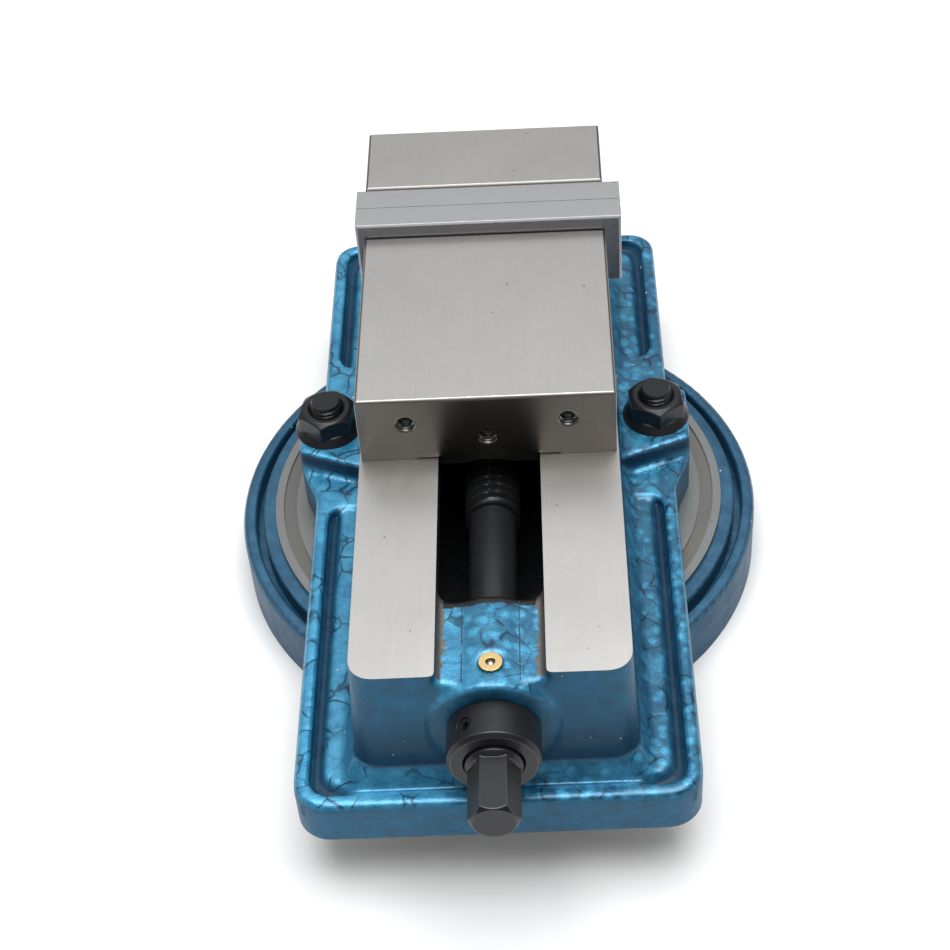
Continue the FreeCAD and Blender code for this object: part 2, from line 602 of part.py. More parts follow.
def build_jaw_plate(label, front, head_at_front):
    """Hardened plate with two counterbored screw holes."""
    back = f"{front} + plate_thick"
    plate = block(f"{label}_block", ("plate_shift - plate_half", "plate_shift + plate_half"),
                  (front, back), ("plate_foot", "plate_top"))
    document.recompute()
    middle = plate.Shape.CenterOfMass.y
    plate = round_edges(f"{label}_edges", plate, "jaw_chamfer",
                        lambda edge: (edge.CenterOfMass.y > middle + 1) == head_at_front
                        and edge.BoundBox.YLength < 1e-6, "Chamfer")
    tools = []
    for side, sign in LEFT_AND_RIGHT:
        at = (f"{sign}plate_screw_across", "plate_screw_height")
        tools.append(lengthwise(f"{label}_{side}_hole", "plate_screw_radius + fine_gap",
                                (f"{front} - past", f"{back} + past"), at))
        sink = (f"{front} - past", f"{front} + plate_head_thick + plate_head_sunk")
        if not head_at_front:
            sink = (f"{back} - plate_head_thick - plate_head_sunk", f"{back} + past")
        tools.append(lengthwise(f"{label}_{side}_sink", "plate_head_radius + fine_gap", sink, at))
    return finish(cut(label, plate, tools), label)


def build_plate_screws(label, face, points_back):
    """Two socket cap screws, their heads sunk below the plate's working face."""
    screws = []
    for side, sign in LEFT_AND_RIGHT:
        at = (f"{sign}plate_screw_across", "plate_screw_height")
        sunk = "(plate_head_sunk + plate_head_thick)"
        head_y = (f"{face} + plate_head_sunk", f"{face} + {sunk}")
        rod_y = (f"{face} + past", f"{face} + {sunk} + plate_screw_reach")
        socket_y = (f"{face} - past", f"{face} + plate_head_sunk + plate_socket_deep")
        if not points_back:
            head_y = (f"{face} - {sunk}", f"{face} - plate_head_sunk")
            rod_y = (f"{face} - {sunk} - plate_screw_reach", f"{face} - past")
            socket_y = (f"{face} - plate_head_sunk - plate_socket_deep", f"{face} + past")
        head = lengthwise(f"{label}_{side}_head", "plate_head_radius", head_y, at)
        rod = lengthwise(f"{label}_{side}_rod", "plate_screw_radius", rod_y, at)
        socket = hexagon(f"{label}_{side}_socket", "plate_socket",
                         f"({socket_y[1]}) - ({socket_y[0]})",
                         (at[0], socket_y[0], at[1]), ALONG_Y)
        screws.append(cut(f"{label}_{side}", join(f"{label}_{side}_blank", [head, rod]), [socket]))
    return finish(group(label, screws), label)


def build_movable_jaw():
    """Ground jaw with a tongue between the ways and a pocket for the nut's hump."""
    block_part = wide_block("moving_block", "jaw_half", ("-moving_front", "moving_back"),
                            ("way_top + moving_gap", "moving_top"))
    block_part = round_edges("moving_edges", block_part, "jaw_chamfer",
                             is_level_at(DIMENSIONS["moving_top"][0]), "Chamfer")
    tongue = wide_block("tongue", "tongue_half", ("-moving_front", "moving_back"),
                        ("tongue_foot", "way_top + 2"))
    jaw = join("moving_blank", [block_part, tongue])
    rise = "(hump_rise + 3)"
    pocket = frustum("hump_pocket", ("tongue_foot - 0.4", f"tongue_foot - 0.4 + {rise}"),
                     ("-hump_half - 0.6", "hump_half + 0.6", "-nut_front - 2", "hump_root + 1.4 - nut_front"),
                     ("-hump_half - 0.6", "hump_half + 0.6", "-nut_front - 2",
                      f"hump_root + 1.4 - nut_front + {rise}"))
    middle = "(nut_top + hump_rise / 2)"
    ball_along = "(hump_root + hump_rise / 2 - nut_front)"
    socket = primitive("Sphere", "half_ball_socket", {"Radius": "ball_radius + 0.1"},
                       ("0", ball_along, middle))
    tools = [
        pocket,
        socket,
        lengthwise("arch", "hump_radius + 0.9", ("-moving_front - past", "moving_back + past")),
        lengthwise("lock_hole", "stop_radius", ("-moving_front - past", "-nut_front"),
                   ("0", "lock_height")),
    ]
    for side, sign in LEFT_AND_RIGHT:
        at = (f"{sign}stop_across", "stop_height")
        tools.append(lengthwise(f"{side}_stop_hole", "stop_radius",
                                ("-moving_front - past", "stop_depth - moving_front"), at))
        tools.append(lengthwise(f"{side}_moving_plate_hole", "plate_screw_radius + running_gap",
                                (f"moving_back + plate_thick - {plate_screw_room}", "moving_back + past"),
                                (f"{sign}plate_screw_across", "plate_screw_height")))
    mouths = (("left", "-stop_across", "stop_height"), ("right", "stop_across", "stop_height"),
              ("middle", "0", "lock_height"))
    for name, across, height in mouths:
        tools.append(primitive("Cone", f"{name}_mouth",
                               {"Radius1": "stop_mouth", "Radius2": "stop_radius",
                                "Height": "stop_mouth - stop_radius"},
                               (across, "-moving_front", height), ALONG_Y))
    for side, sign in LEFT_AND_RIGHT:
        tools.append(block(f"{side}_relief", (f"{sign}relief_across - relief_half",
                                              f"{sign}relief_across + relief_half"),
                           ("-moving_front - past", "moving_back + past"),
                           ("way_top - past", "way_top + moving_gap + relief_high")))
    return finish(cut("movable_jaw", jaw, tools), "movable_jaw")


def build_jaw_nut():
    """Nut under the ways, with ears and an undercut hump that pulls the jaw down."""
    body = wide_block("nut_block", "tongue_half - 0.1", ("-nut_front", "nut_back"),
                      ("nut_foot", "nut_top"))
    ears = wide_block("nut_ears", "nut_ear_half", ("-nut_front", "nut_back"),
                      ("nut_ear_foot", "channel_top - 0.3"))
    hump = frustum("nut_hump", ("nut_top - past", "nut_top + hump_rise"),
                   ("-hump_half", "hump_half", "-nut_front", "hump_root - 1 - nut_front"),
                   ("-hump_half", "hump_half", "-nut_front", "hump_root + hump_rise - nut_front"))
    bore = lengthwise("nut_bore", "thread_radius + running_gap", ("-nut_front - past", "nut_back + past"))
    return finish(cut("jaw_nut", join("nut_blank", [body, ears, hump]), [bore]), "jaw_nut")


def build_half_ball():
    """Hemisphere between the nut's undercut face and the jaw's socket."""
    ball = primitive("Sphere", "half_ball", {"Radius": "ball_radius"},
                     ("0", "hump_root + hump_rise / 2 - nut_front", "nut_top + hump_rise / 2"),
                     HALF_BALL_TURN)
    ball.Angle1 = 0
    return finish(ball, "half_ball")


def build_jaw_lock_screw():
    """Set screw in the jaw's near face that takes up the play on the nut."""
    rod = lengthwise("lock_rod", "stop_radius - running_gap",
                     ("lock_sunk - moving_front", "-nut_front - 0.1"),
                     ("0", "lock_height"))
    socket = hexagon("lock_socket_hole", "lock_socket", "lock_socket_deep + past",
                     ("0", "lock_sunk - past - moving_front", "lock_height"), ALONG_Y)
    return finish(cut("jaw_lock_screw", rod, [socket]), "jaw_lock_screw")


def build_lead_screw():
    """Screw with its hexagon, journal, thrust flange, plain shank and thread."""
    hexagon_bar = hexagon("hex_bar", "hexagon_flat", "screw_front - journal_front + 2",
                          ("0", "-screw_front", "screw_height"), ALONG_Y)
    tip = primitive("Cone", "hex_tip",
                    {"Radius1": "hexagon_flat / 2 - 0.4",
                     "Radius2": "hexagon_flat / 2 + screw_front - journal_front",
                     "Height": "screw_front - journal_front + 2"},
                    ("0", "-screw_front", "screw_height"), ALONG_Y)
    hex_end = document.addObject("Part::Common", "hex_end")
    hex_end.Base = hexagon_bar
    hex_end.Tool = tip
    journal = lengthwise("journal_rod", "journal_radius", ("-journal_front", "-bush_back + past"))
    journal = round_edges("journal", journal, "collar_chamfer",
                          lambda edge: edge.CenterOfMass.y < -150 and edge.Curve.TypeId == "Part::GeomCircle",
                          "Chamfer")
    flange_front = "-bush_back + 2 * race_thick + cage_space"
    pieces = [
        hex_end,
        journal,
        lengthwise("bearing_seat", "journal_radius", ("-bush_back", "3 - slot_front")),
        lengthwise("thrust_flange", "thrust_radius",
                   (flange_front, f"{flange_front} + flange_thick")),
        lengthwise("shank", "shank_radius", ("-slot_front", "1 - thread_front")),
        lengthwise("thread", "thread_radius", ("-thread_front", "screw_rear")),
    ]
    return finish(join("lead_screw", pieces), "lead_screw")


def build_screw_collar():
    """Collar that keeps the screw from being pushed in, with its set screw hole."""
    blank = lengthwise("collar_rod", "collar_radius", ("-collar_front", "-collar_back"))
    blank = round_edges("collar_blank", blank, "collar_chamfer",
                        lambda edge: edge.Curve.TypeId == "Part::GeomCircle"
                        and edge.CenterOfMass.y < -160, "Chamfer")
    middle = "(0 - (collar_front + collar_back) / 2)"
    tools = [
        lengthwise("collar_bore", "journal_radius + running_gap",
                   ("-collar_front - past", "past - collar_back")),
        primitive("Cone", "collar_mouth",
                  {"Radius1": "journal_radius + 0.9", "Radius2": "journal_radius", "Height": "0.9"},
                  ("0", "-collar_front", "screw_height"), ALONG_Y),
        primitive("Cylinder", "collar_screw_hole",
                  {"Radius": "stop_radius", "Height": "collar_radius + past"},
                  ("0", middle, "screw_height"), COLLAR_SCREW_TURN),
    ]
    return finish(cut("screw_collar", blank, tools), "screw_collar")


def build_collar_set_screw():
    """Socket set screw, sunk in the upper left of the collar."""
    middle = "(0 - (collar_front + collar_back) / 2)"
    rod = primitive("Cylinder", "collar_screw_rod",
                    {"Radius": "stop_radius - running_gap", "Height": "collar_radius - 0.8"},
                    ("0", middle, "screw_height"), COLLAR_SCREW_TURN)
    socket = hexagon("collar_screw_socket", "lock_socket", "collar_radius * 2",
                     ("0", middle, "screw_height"), COLLAR_SCREW_TURN)
    solid_end = lengthwise("collar_screw_floor", "collar_radius - 0.8 - lock_socket_deep",
                           ("-collar_front - past", "1 - collar_back"))
    journal = lengthwise("collar_screw_stop", "journal_radius + running_gap",
                         ("-collar_front - past", "1 - collar_back"))
    socket_part = cut("collar_screw_key", socket, [solid_end])
    return finish(cut("collar_set_screw", rod, [socket_part, journal]), "collar_set_screw")


def build_screw_bush():
    """Bronze bush pressed into the screw housing, with its oil hole."""
    bush = tube("bush_tube", "bush_radius", "journal_radius + running_gap",
                ("-hump_front + 0.4", "-bush_back"))
    hole = upright("bush_oil_hole", "1.5", ("screw_height", "screw_height + bush_radius + past"),
                   ("0", "-oiler_along"))
    return finish(cut("screw_bush", bush, [hole]), "screw_bush")


def build_thrust_bearing():
    """Two races with a caged set of balls between them."""
    y_front = "(0 - bush_back)"
    y_cage = "(race_thick - bush_back)"
    y_rear = "(race_thick + cage_space - bush_back)"
    finish(tube("thrust_race_front", "thrust_radius", "journal_radius + fine_gap",
                (y_front, f"{y_front} + race_thick")), "thrust_race_front")
    finish(tube("thrust_race_rear", "thrust_radius", "journal_radius + running_gap",
                (y_rear, f"{y_rear} + race_thick")), "thrust_race_rear")
    middle = f"({y_cage} + cage_space / 2)"
    cage = tube("cage_ring", "thrust_radius - fine_gap", "journal_radius + fine_gap",
                (f"{middle} - cage_half", f"{middle} + cage_half"))
    balls = []
    for number in range(BALL_COUNT):
        angle = 360 * number / BALL_COUNT
        pitch = "(thrust_radius + journal_radius) / 2"
        at = (f"{pitch} * cos({angle} deg)", middle, f"screw_height + {pitch} * sin({angle} deg)")
        balls.append(primitive("Sphere", f"ball_{number + 1}", {"Radius": "cage_space / 2 - 0.02"}, at))
    finish(join("thrust_cage", [cage] + balls), "thrust_cage")


def build_oiler():
    """Press-in ball oiler: brass body, sprung ball and its spring."""
    at = ("0", "-oiler_along")
    shell = upright("oiler_shell", "oiler_radius", ("oiler_foot", "oiler_top"), at)
    tools = [
        upright("oiler_chamber", "oiler_room", ("oiler_foot + past", "oiler_top - oiler_lip"), at),
        upright("oiler_mouth_hole", "oiler_mouth", ("oiler_top - oiler_lip - past", "oiler_top + past"), at),
        upright("oiler_drain", "0.8", ("oiler_foot - past", "oiler_foot + 2"), at),
    ]
    finish(cut("oiler_body", shell, tools), "oiler_body")
    finish(primitive("Sphere", "oiler_ball_part", {"Radius": "oiler_ball"},
                     (at[0], at[1], "oiler_top - oiler_lip - oiler_ball + oiler_seat")), "oiler_ball")
    document.recompute()
    coil = document.addObject("Part::Helix", "oiler_spring_path")
    for size, text in (("Pitch", "coil_pitch"), ("Height", "coil_height"), ("Radius", "coil_radius")):
        coil.setExpression(size, formula(text))
    place(coil, (at[0], at[1], "oiler_foot + coil_foot"), UPRIGHT)
    wire = primitive("Circle", "oiler_spring_wire", {"Radius": "coil_wire"},
                     ("coil_radius", at[1], "oiler_foot + coil_foot"), AGAINST_Y)
    spring = document.addObject("Part::Sweep", "oiler_spring")
    spring.Sections = [wire]
    spring.Spine = (coil, [])
    spring.Solid = True
    spring.Frenet = True
    finish(spring, "oiler_spring")


build_swivel_base()
build_pivot_pin()
build_vise_body()
build_clamp_bolts()
for side_name, side_sign in LEFT_AND_RIGHT:
    build_clamp_nut(side_name, side_sign)
build_fixed_jaw()
build_fixed_jaw_key()
build_fixed_jaw_bolts()
build_jaw_plate("fixed_jaw_plate", "(fixed_front - plate_thick)", True)
build_plate_screws("fixed_plate_screws", "(fixed_front - plate_thick)", True)
build_movable_jaw()
build_jaw_plate("movable_jaw_plate", "moving_back", False)
build_plate_screws("movable_plate_screws", "(moving_back + plate_thick)", False)
build_jaw_nut()
build_half_ball()
build_jaw_lock_screw()
build_lead_screw()
build_screw_collar()
build_collar_set_screw()
build_screw_bush()
build_thrust_bearing()
build_oiler()

document.recompute()
for thing in document.Objects:
    if "Invalid" in thing.State or "Error" in thing.State:
        raise RuntimeError(f"{thing.Name} did not compute")
os.makedirs("parts", exist_ok=True)
for thing in sub_parts:
    if thing.Shape.isNull() or not thing.Shape.isValid():
        raise RuntimeError(f"{thing.Label} has no valid shape")
    thing.Shape.exportStep(f"parts/{thing.Label}.step")
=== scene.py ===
"""Looks of a machine vise on a swivel base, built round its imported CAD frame.

Everything is in metres in the frame of the CAD: +X across the jaws, +Y from the handle end of the
screw towards the fixed jaw, +Z up, with the origin on the swivel axis under the base.
"""

from __future__ import annotations

import json
import logging
import math
from collections.abc import Callable
from dataclasses import dataclass, field
from enum import Enum

import bmesh
import bpy
from mathutils import Matrix, Vector

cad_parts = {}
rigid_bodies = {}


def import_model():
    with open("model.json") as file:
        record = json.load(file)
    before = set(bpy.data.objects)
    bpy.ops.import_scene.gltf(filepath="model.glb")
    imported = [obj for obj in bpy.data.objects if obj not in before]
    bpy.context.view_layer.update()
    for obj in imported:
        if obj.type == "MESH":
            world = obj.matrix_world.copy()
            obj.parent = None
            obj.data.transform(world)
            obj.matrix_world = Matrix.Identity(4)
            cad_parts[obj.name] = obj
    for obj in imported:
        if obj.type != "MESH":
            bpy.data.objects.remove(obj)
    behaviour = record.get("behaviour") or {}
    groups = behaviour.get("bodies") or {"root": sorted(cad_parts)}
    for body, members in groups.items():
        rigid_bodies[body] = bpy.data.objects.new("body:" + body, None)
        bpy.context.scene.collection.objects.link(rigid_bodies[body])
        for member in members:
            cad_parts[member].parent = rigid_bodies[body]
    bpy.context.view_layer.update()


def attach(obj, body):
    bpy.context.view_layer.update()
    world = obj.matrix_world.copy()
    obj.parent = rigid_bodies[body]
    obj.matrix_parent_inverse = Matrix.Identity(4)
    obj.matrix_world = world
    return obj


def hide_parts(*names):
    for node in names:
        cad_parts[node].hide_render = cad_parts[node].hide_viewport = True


LOG = logging.getLogger("machine_vise")
MM = 0.001
WELD = 0.002 * MM
SLIVER = 0.001 * MM
FLAT_ANGLE = math.radians(0.4)
SOFT_ANGLE = math.radians(25)
EDGE_ANGLE = math.radians(32)
SHARP_ANGLE = math.radians(34)
Triple = tuple[float, float, float]
Pair = tuple[float, float]
Colour = Triple


class Grain(Enum):
    """Direction in which a surface was ground or turned."""

    ALONG = "lines along the vise"
    ROUND = "rings about the swivel axis"
    CLOUDY = "no lines, blasted or blackened"


# ---------------------------------------------------------------- node arithmetic


def feed(tree: bpy.types.NodeTree, socket: bpy.types.NodeSocket, operand: object) -> None:
    """Set a socket to a number, or link it to another node's output.

    Args:
        tree: the node tree that holds the socket.
        socket: the input to set.
        operand: a Value to link, or a plain default.
    """
    if isinstance(operand, Value):
        tree.links.new(operand.socket, socket)
    else:
        socket.default_value = operand


class Value:
    """One output of a node, with arithmetic that adds Math nodes to its tree."""

    def __init__(self, tree: bpy.types.NodeTree, socket: bpy.types.NodeSocket) -> None:
        """Remember the tree and the output."""
        self.tree = tree
        self.socket = socket

    def math(self, operation: str, *operands: object, clamp: bool = False) -> Value:
        """Add one Math node.

        Args:
            operation: Blender's name of the operation.
            operands: values or numbers, in the order of the node's inputs.
            clamp: whether the result is kept between 0 and 1.

        Returns:
            The node's output.
        """
        node = self.tree.nodes.new("ShaderNodeMath")
        node.operation = operation
        node.use_clamp = clamp
        for socket, operand in zip(node.inputs, operands):
            feed(self.tree, socket, operand)
        return Value(self.tree, node.outputs[0])

    def __add__(self, other: object) -> Value:
        """Add."""
        return self.math("ADD", self, other)

    __radd__ = __add__

    def __sub__(self, other: object) -> Value:
        """Subtract a value from this one."""
        return self.math("SUBTRACT", self, other)

    def __rsub__(self, other: object) -> Value:
        """Subtract this value from another."""
        return self.math("SUBTRACT", other, self)

    def __mul__(self, other: object) -> Value:
        """Multiply."""
        return self.math("MULTIPLY", self, other)

    __rmul__ = __mul__

    def __truediv__(self, other: object) -> Value:
        """Divide this value by another."""
        return self.math("DIVIDE", self, other)

    def __pow__(self, power: object) -> Value:
        """Raise to a power."""
        return self.math("POWER", self, power)

    def __abs__(self) -> Value:
        """Take the size without the sign."""
        return self.math("ABSOLUTE", self)

    def fraction(self) -> Value:
        """Keep the part after the decimal point."""
        return self.math("FRACT", self)

    def clamped(self) -> Value:
        """Keep between 0 and 1."""
        return self.math("ADD", self, 0.0, clamp=True)

    def ramp(self, low: float, high: float) -> Value:
        """Rise smoothly from 0 at low to 1 at high.

        Args:
            low: where the rise starts.
            high: where it ends.

        Returns:
            The risen value.
        """
        node = self.tree.nodes.new("ShaderNodeMapRange")
        node.interpolation_type = "SMOOTHSTEP"
        feed(self.tree, node.inputs[0], self)
        node.inputs[1].default_value = low
        node.inputs[2].default_value = high
        return Value(self.tree, node.outputs[0])

    def between(self, low: float, high: float, soft: float) -> Value:
        """Make a mask that is 1 between two limits, with soft sides."""
        return self.ramp(low - soft, low + soft) * (1.0 - self.ramp(high - soft, high + soft))


class Nodes:
    """Adds any node to a tree by its type, settings and inputs."""

    def __init__(self, tree: bpy.types.NodeTree) -> None:
        """Remember the tree."""
        self.tree = tree

    def add(self, kind: str, settings: dict | None = None, inputs: dict | None = None,
            output: int | str = 0) -> Value:
        """Add one node.

        Args:
            kind: the node's type.
            settings: its properties, set before the inputs.
            inputs: values or links by socket name or number.
            output: which output to return.

        Returns:
            The output as a Value.
        """
        node = self.tree.nodes.new(kind)
        for key, setting in (settings or {}).items():
            setattr(node, key, setting)
        for key, operand in (inputs or {}).items():
            feed(self.tree, node.inputs[key], operand)
        return Value(self.tree, node.outputs[output])

    def apart(self, vector: Value) -> tuple[Value, Value, Value]:
        """Split a vector into its three parts.

        Args:
            vector: the vector.

        Returns:
            Its x, y and z.
        """
        node = self.tree.nodes.new("ShaderNodeSeparateXYZ")
        feed(self.tree, node.inputs[0], vector)
        x, y, z = (Value(self.tree, output) for output in node.outputs)
        return x, y, z


class Recipe(Nodes):
    """One material: a principled shader and what feeds it."""

    def __init__(self, name: str) -> None:
        """Start an empty material.

        Args:
            name: the material's name.
        """
        self.material = bpy.data.materials.new(name)
        self.material.use_nodes = True
        super().__init__(self.material.node_tree)
        self.tree.nodes.clear()
        self.shader = self.tree.nodes.new("ShaderNodeBsdfPrincipled")
        out = self.tree.nodes.new("ShaderNodeOutputMaterial")
        self.tree.links.new(self.shader.outputs[0], out.inputs[0])

    def place(self) -> Value:
        """Give the point on the object in millimetres."""
        point = self.add("ShaderNodeTexCoord", output="Object")
        return self.stretched(point, (1 / MM, 1 / MM, 1 / MM))

    def stretched(self, vector: Value, scale: Triple) -> Value:
        """Multiply a vector part by part."""
        return self.add("ShaderNodeVectorMath", {"operation": "MULTIPLY"}, {0: vector, 1: scale})

    def warped(self, at: Value, scale: float, reach: float) -> Value:
        """Shift points by a soft noise.

        Args:
            at: the points, in millimetres.
            scale: the noise's frequency per millimetre.
            reach: how far a point may move, in millimetres.

        Returns:
            The shifted points.
        """
        noise = self.add("ShaderNodeTexNoise", None,
                         {"Vector": at, "Scale": scale, "Detail": 2.0}, "Color")
        shift = self.add("ShaderNodeVectorMath", {"operation": "MULTIPLY_ADD"},
                         {0: noise, 1: (2 * reach,) * 3, 2: (-reach,) * 3})
        return self.add("ShaderNodeVectorMath", {"operation": "ADD"}, {0: at, 1: shift})

    def noise(self, at: Value, scale: float, detail: float = 2.0, rough: float = 0.5) -> Value:
        """Give a soft noise of a frequency per millimetre."""
        return self.add("ShaderNodeTexNoise", None,
                        {"Vector": at, "Scale": scale, "Detail": detail, "Roughness": rough})

    def cell_edges(self, at: Value, size: float) -> Value:
        """Give the distance to the border of random cells of a size in millimetres."""
        return self.add("ShaderNodeTexVoronoi", {"feature": "DISTANCE_TO_EDGE"},
                        {"Vector": at, "Scale": 1 / size, "Randomness": 1.0})

    def cell_centres(self, at: Value, size: float) -> Value:
        """Give the distance to the middle of random cells of a size in millimetres."""
        return self.add("ShaderNodeTexVoronoi", {"feature": "SMOOTH_F1"},
                        {"Vector": at, "Scale": 1 / size, "Smoothness": 0.35})

    def blend(self, factor: object, first: object, second: object) -> Value:
        """Mix two colours.

        Args:
            factor: the share of the second colour, from 0 to 1.
            first: a colour, or a value that gives one.
            second: the same.

        Returns:
            The mixed colour.
        """
        colours = [operand if isinstance(operand, Value) else (*operand, 1.0)
                   for operand in (first, second)]
        return self.add("ShaderNodeMix", {"data_type": "RGBA"},
                        {0: factor, 6: colours[0], 7: colours[1]}, 2)

    def upward(self) -> Value:
        """Give how far the surface faces up, from -1 to 1."""
        return self.apart(self.add("ShaderNodeNewGeometry", output="Normal"))[2]

    def relief(self, height: Value, depth: float, strength: float = 1.0) -> None:
        """Bump the surface.

        Args:
            height: the relief, from 0 to 1.
            depth: its depth in millimetres.
            strength: how much of it shows.
        """
        bump = self.add("ShaderNodeBump", None,
                        {"Height": height, "Distance": depth * MM, "Strength": strength})
        feed(self.tree, self.shader.inputs["Normal"], bump)

    def shade(self, **sockets: object) -> None:
        """Set shader inputs, whose spaces are written as underscores."""
        for name, operand in sockets.items():
            feed(self.tree, self.shader.inputs[name.replace("_", " ")], operand)


# ---------------------------------------------------------------- finishes


@dataclass(frozen=True)
class BedZones:
    """Where the bed's paint changes, in millimetres.

    A pair holds the two ends of a soft step, or the near and far limit of a zone.
    """

    tray_side: Pair = (66.0, 67.0)
    tray_along: Pair = (-159.5, 134.0)
    gutter_floor: Pair = (35.0, 37.0)
    gutter_brim: Pair = (40.6, 42.8)
    tray_floor: Pair = (43.8, 44.8)
    wall_foot: Pair = (45.0, 50.0)
    wall_head: Pair = (52.0, 84.0)
    blotches_left: Pair = (-38.0, 6.0)
    slot_side: Pair = (27.0, 28.0)
    slot_height: Pair = (42.5, 93.75)
    slot_front: Pair = (-115.9, -115.4)
    slot_rear: Pair = (66.0, 68.0)
    bridge_top: Pair = (87.5, 92.5)
    ledge_inner: Pair = (15.3, 15.7)
    ledge_outer: Pair = (18.1, 18.4)
    ledge_along: Pair = (-146.0, -100.0)
    line_across: float = 9.5
    line_edge: Pair = (0.1, 0.34)
    line_along: Pair = (-147.5, -111.0)


@dataclass(frozen=True)
class HammerPaint:
    """Hammered enamel: puffed cells with dark veins, and bare iron where it was scraped off.

    Colours are linear. The cell size is in millimetres, and tight is the share of it that the
    finer cells have. The two shade shares are painted shade: how much darker the tray's floor is,
    and how much darker its gutter and the foot of its walls are.
    """

    CHIP = (0.6, 0.6, 0.58)
    SLOT_BLACK = (0.012, 0.013, 0.015)
    CREASE_SHADE = (0.02, 0.035, 0.06)
    BARE = (0.135, 0.125, 0.115)

    name: str
    light: Colour
    deep: Colour
    # A darker copy of the paint for faces that do not look up: painted shade.
    side: Colour
    vein: Colour
    cell: float
    vein_strength: float = 0.85
    # Painted shade: the first darkens the tray's floor, the second its gutter and the foot of its
    # walls.
    tray_floor_shade: float = 0.0
    gutter: float = 0.0
    scraped: bool = False
    tight: float = 0.36
    zones: BedZones = BedZones()

    def make(self) -> bpy.types.Material:
        """Build the material.

        Returns:
            The material.
        """
        r, zones = Recipe(self.name), self.zones
        at = r.place()
        x, y, z = r.apart(at)
        inner = (1.0 - abs(x).ramp(*zones.tray_side)) * y.between(*zones.tray_along, 0.5)
        bent = r.warped(at, 0.1, 3.6)
        loose = r.cell_edges(bent, self.cell)
        tight = r.cell_centres(r.warped(at, 0.35, 1.0), self.cell * self.tight)
        up = r.upward().ramp(0.15, 0.8)
        blotchy = (x + (r.noise(at, 0.03) - 0.5) * 60.0).ramp(*zones.blotches_left)
        fading = r.noise(at, 0.075, 2.0).ramp(0.4, 0.54)
        long_veins = (1.0 - loose.ramp(0.004, 0.05)) * fading * (1.0 - blotchy * 0.55)
        spots = tight.ramp(0.2, 0.52) * blotchy * r.noise(at, 0.12, 2.0).ramp(0.2, 0.52)
        veins = ((long_veins + spots * 0.7) * (0.2 + 0.8 * up) * self.vein_strength).clamped()
        cloud = r.noise(at, 0.13, 4.0, 0.6).ramp(0.3, 0.72)
        fleck = r.noise(at, 1.3, 3.0, 0.7).ramp(0.38, 0.64)
        face = r.blend((cloud * 0.7 + fleck * 0.3).clamped(), self.deep, self.light)
        # Painted shade: the gutter beside the bead goes darker towards its floor.
        sunk = (1.0 - z.ramp(*zones.gutter_brim)) * self.gutter * z.ramp(*zones.gutter_floor) * inner
        # Painted shade on the tray's floor, added to the gutter's.
        low = (1.0 - z.ramp(*zones.tray_floor)) * self.tray_floor_shade + sunk
        # Painted shade: the walls go darker towards their foot, just above the tray.
        shaded = z.ramp(*zones.wall_foot) * (1.0 - z.ramp(*zones.wall_head)) * self.gutter
        # Painted shade: faces that do not look up take the darker side colour.
        wall = r.blend(cloud * 0.5, self.side, self.deep)
        body = r.blend(up, r.blend(shaded, wall, self.vein), r.blend(low, face, self.vein))
        colour = r.blend(veins, body, self.vein)
        chips = r.noise(at, 0.33, 1.0).ramp(0.8, 0.81)
        colour = r.blend(chips, colour, self.CHIP)
        metal = 0.42 * (1.0 - chips) * (1.0 - sunk)
        rough = 0.3 + 0.12 * cloud + 0.2 * (1.0 - up) + 0.3 * sunk
        if self.scraped:
            # The slot around the screw is painted near black.
            colour = r.blend(self.dark_slot(r, at), colour, self.SLOT_BLACK)
            bare, line = self.marks(r, at)
            # Painted shade: dark lines along the creases where the hump meets the bridge's flats.
            colour = r.blend(line, colour, self.CREASE_SHADE)
            colour = r.blend(bare, colour, self.BARE)
            metal = metal * (1.0 - bare) + 0.75 * bare
            rough = rough * (1.0 - bare) + 0.48 * bare
        puff = loose.ramp(0.0, 0.25) * 0.55 - tight * blotchy * 0.5 + r.noise(at, 1.1, 3.0) * 0.6
        wrinkle = r.noise(r.stretched(at, (1.0, 1.0, 2.2)), 0.55, 2.0) * (1.0 - up)
        r.relief(puff + wrinkle * 1.1, 0.24, 0.9)
        r.shade(Base_Color=colour, Metallic=metal, Roughness=rough,
                Coat_Weight=(0.15 + 0.4 * up) * (1.0 - sunk), Coat_Roughness=0.16, Coat_IOR=1.5,
                Specular_IOR_Level=0.3)
        return r.material

    def dark_slot(self, r: Recipe, at: Value) -> Value:
        """Mask the slot around the screw, which is painted near black, with a ragged front border.

        Args:
            r: the recipe to add to.
            at: the points, in millimetres.

        Returns:
            The mask.
        """
        x, y, z = r.apart(at)
        ragged = (r.noise(at, 0.35, 2.0) - 0.5) * 2.5
        zones = self.zones
        inside = (1.0 - abs(x).ramp(*zones.slot_side)) * z.between(*zones.slot_height, 0.15)
        return inside * (y + ragged).ramp(*zones.slot_front) * (1.0 - y.ramp(*zones.slot_rear))

    def marks(self, r: Recipe, at: Value) -> tuple[Value, Value]:
        """Mask the scraped ledges beside the bridge and the painted shade in the hump's two creases.

        Args:
            r: the recipe to add to.
            at: the points, in millimetres.

        Returns:
            The mask of bare iron and the mask of the painted crease shade.
        """
        zones = self.zones
        x, y, z = r.apart(at)
        across = abs(x)
        ragged = (r.noise(r.stretched(at, (1.0, 0.45, 1.0)), 0.3, 3.0, 0.65) - 0.5) * 6.5
        near = z.between(*zones.bridge_top, 0.3)
        ledge = (across + ragged).ramp(*zones.ledge_inner) * (1.0 - across.ramp(*zones.ledge_outer))
        bare = ledge * (y - ragged * 0.7).between(*zones.ledge_along, 0.4) * near
        # Painted shade in the hump's two creases.
        edge = 1.0 - abs(across - zones.line_across).ramp(*zones.line_edge)
        line = edge * y.between(*zones.line_along, 0.6) * near
        broken = r.noise(at, 0.25, 2.0).ramp(0.3, 0.45)
        return bare.clamped(), line * broken * 0.9


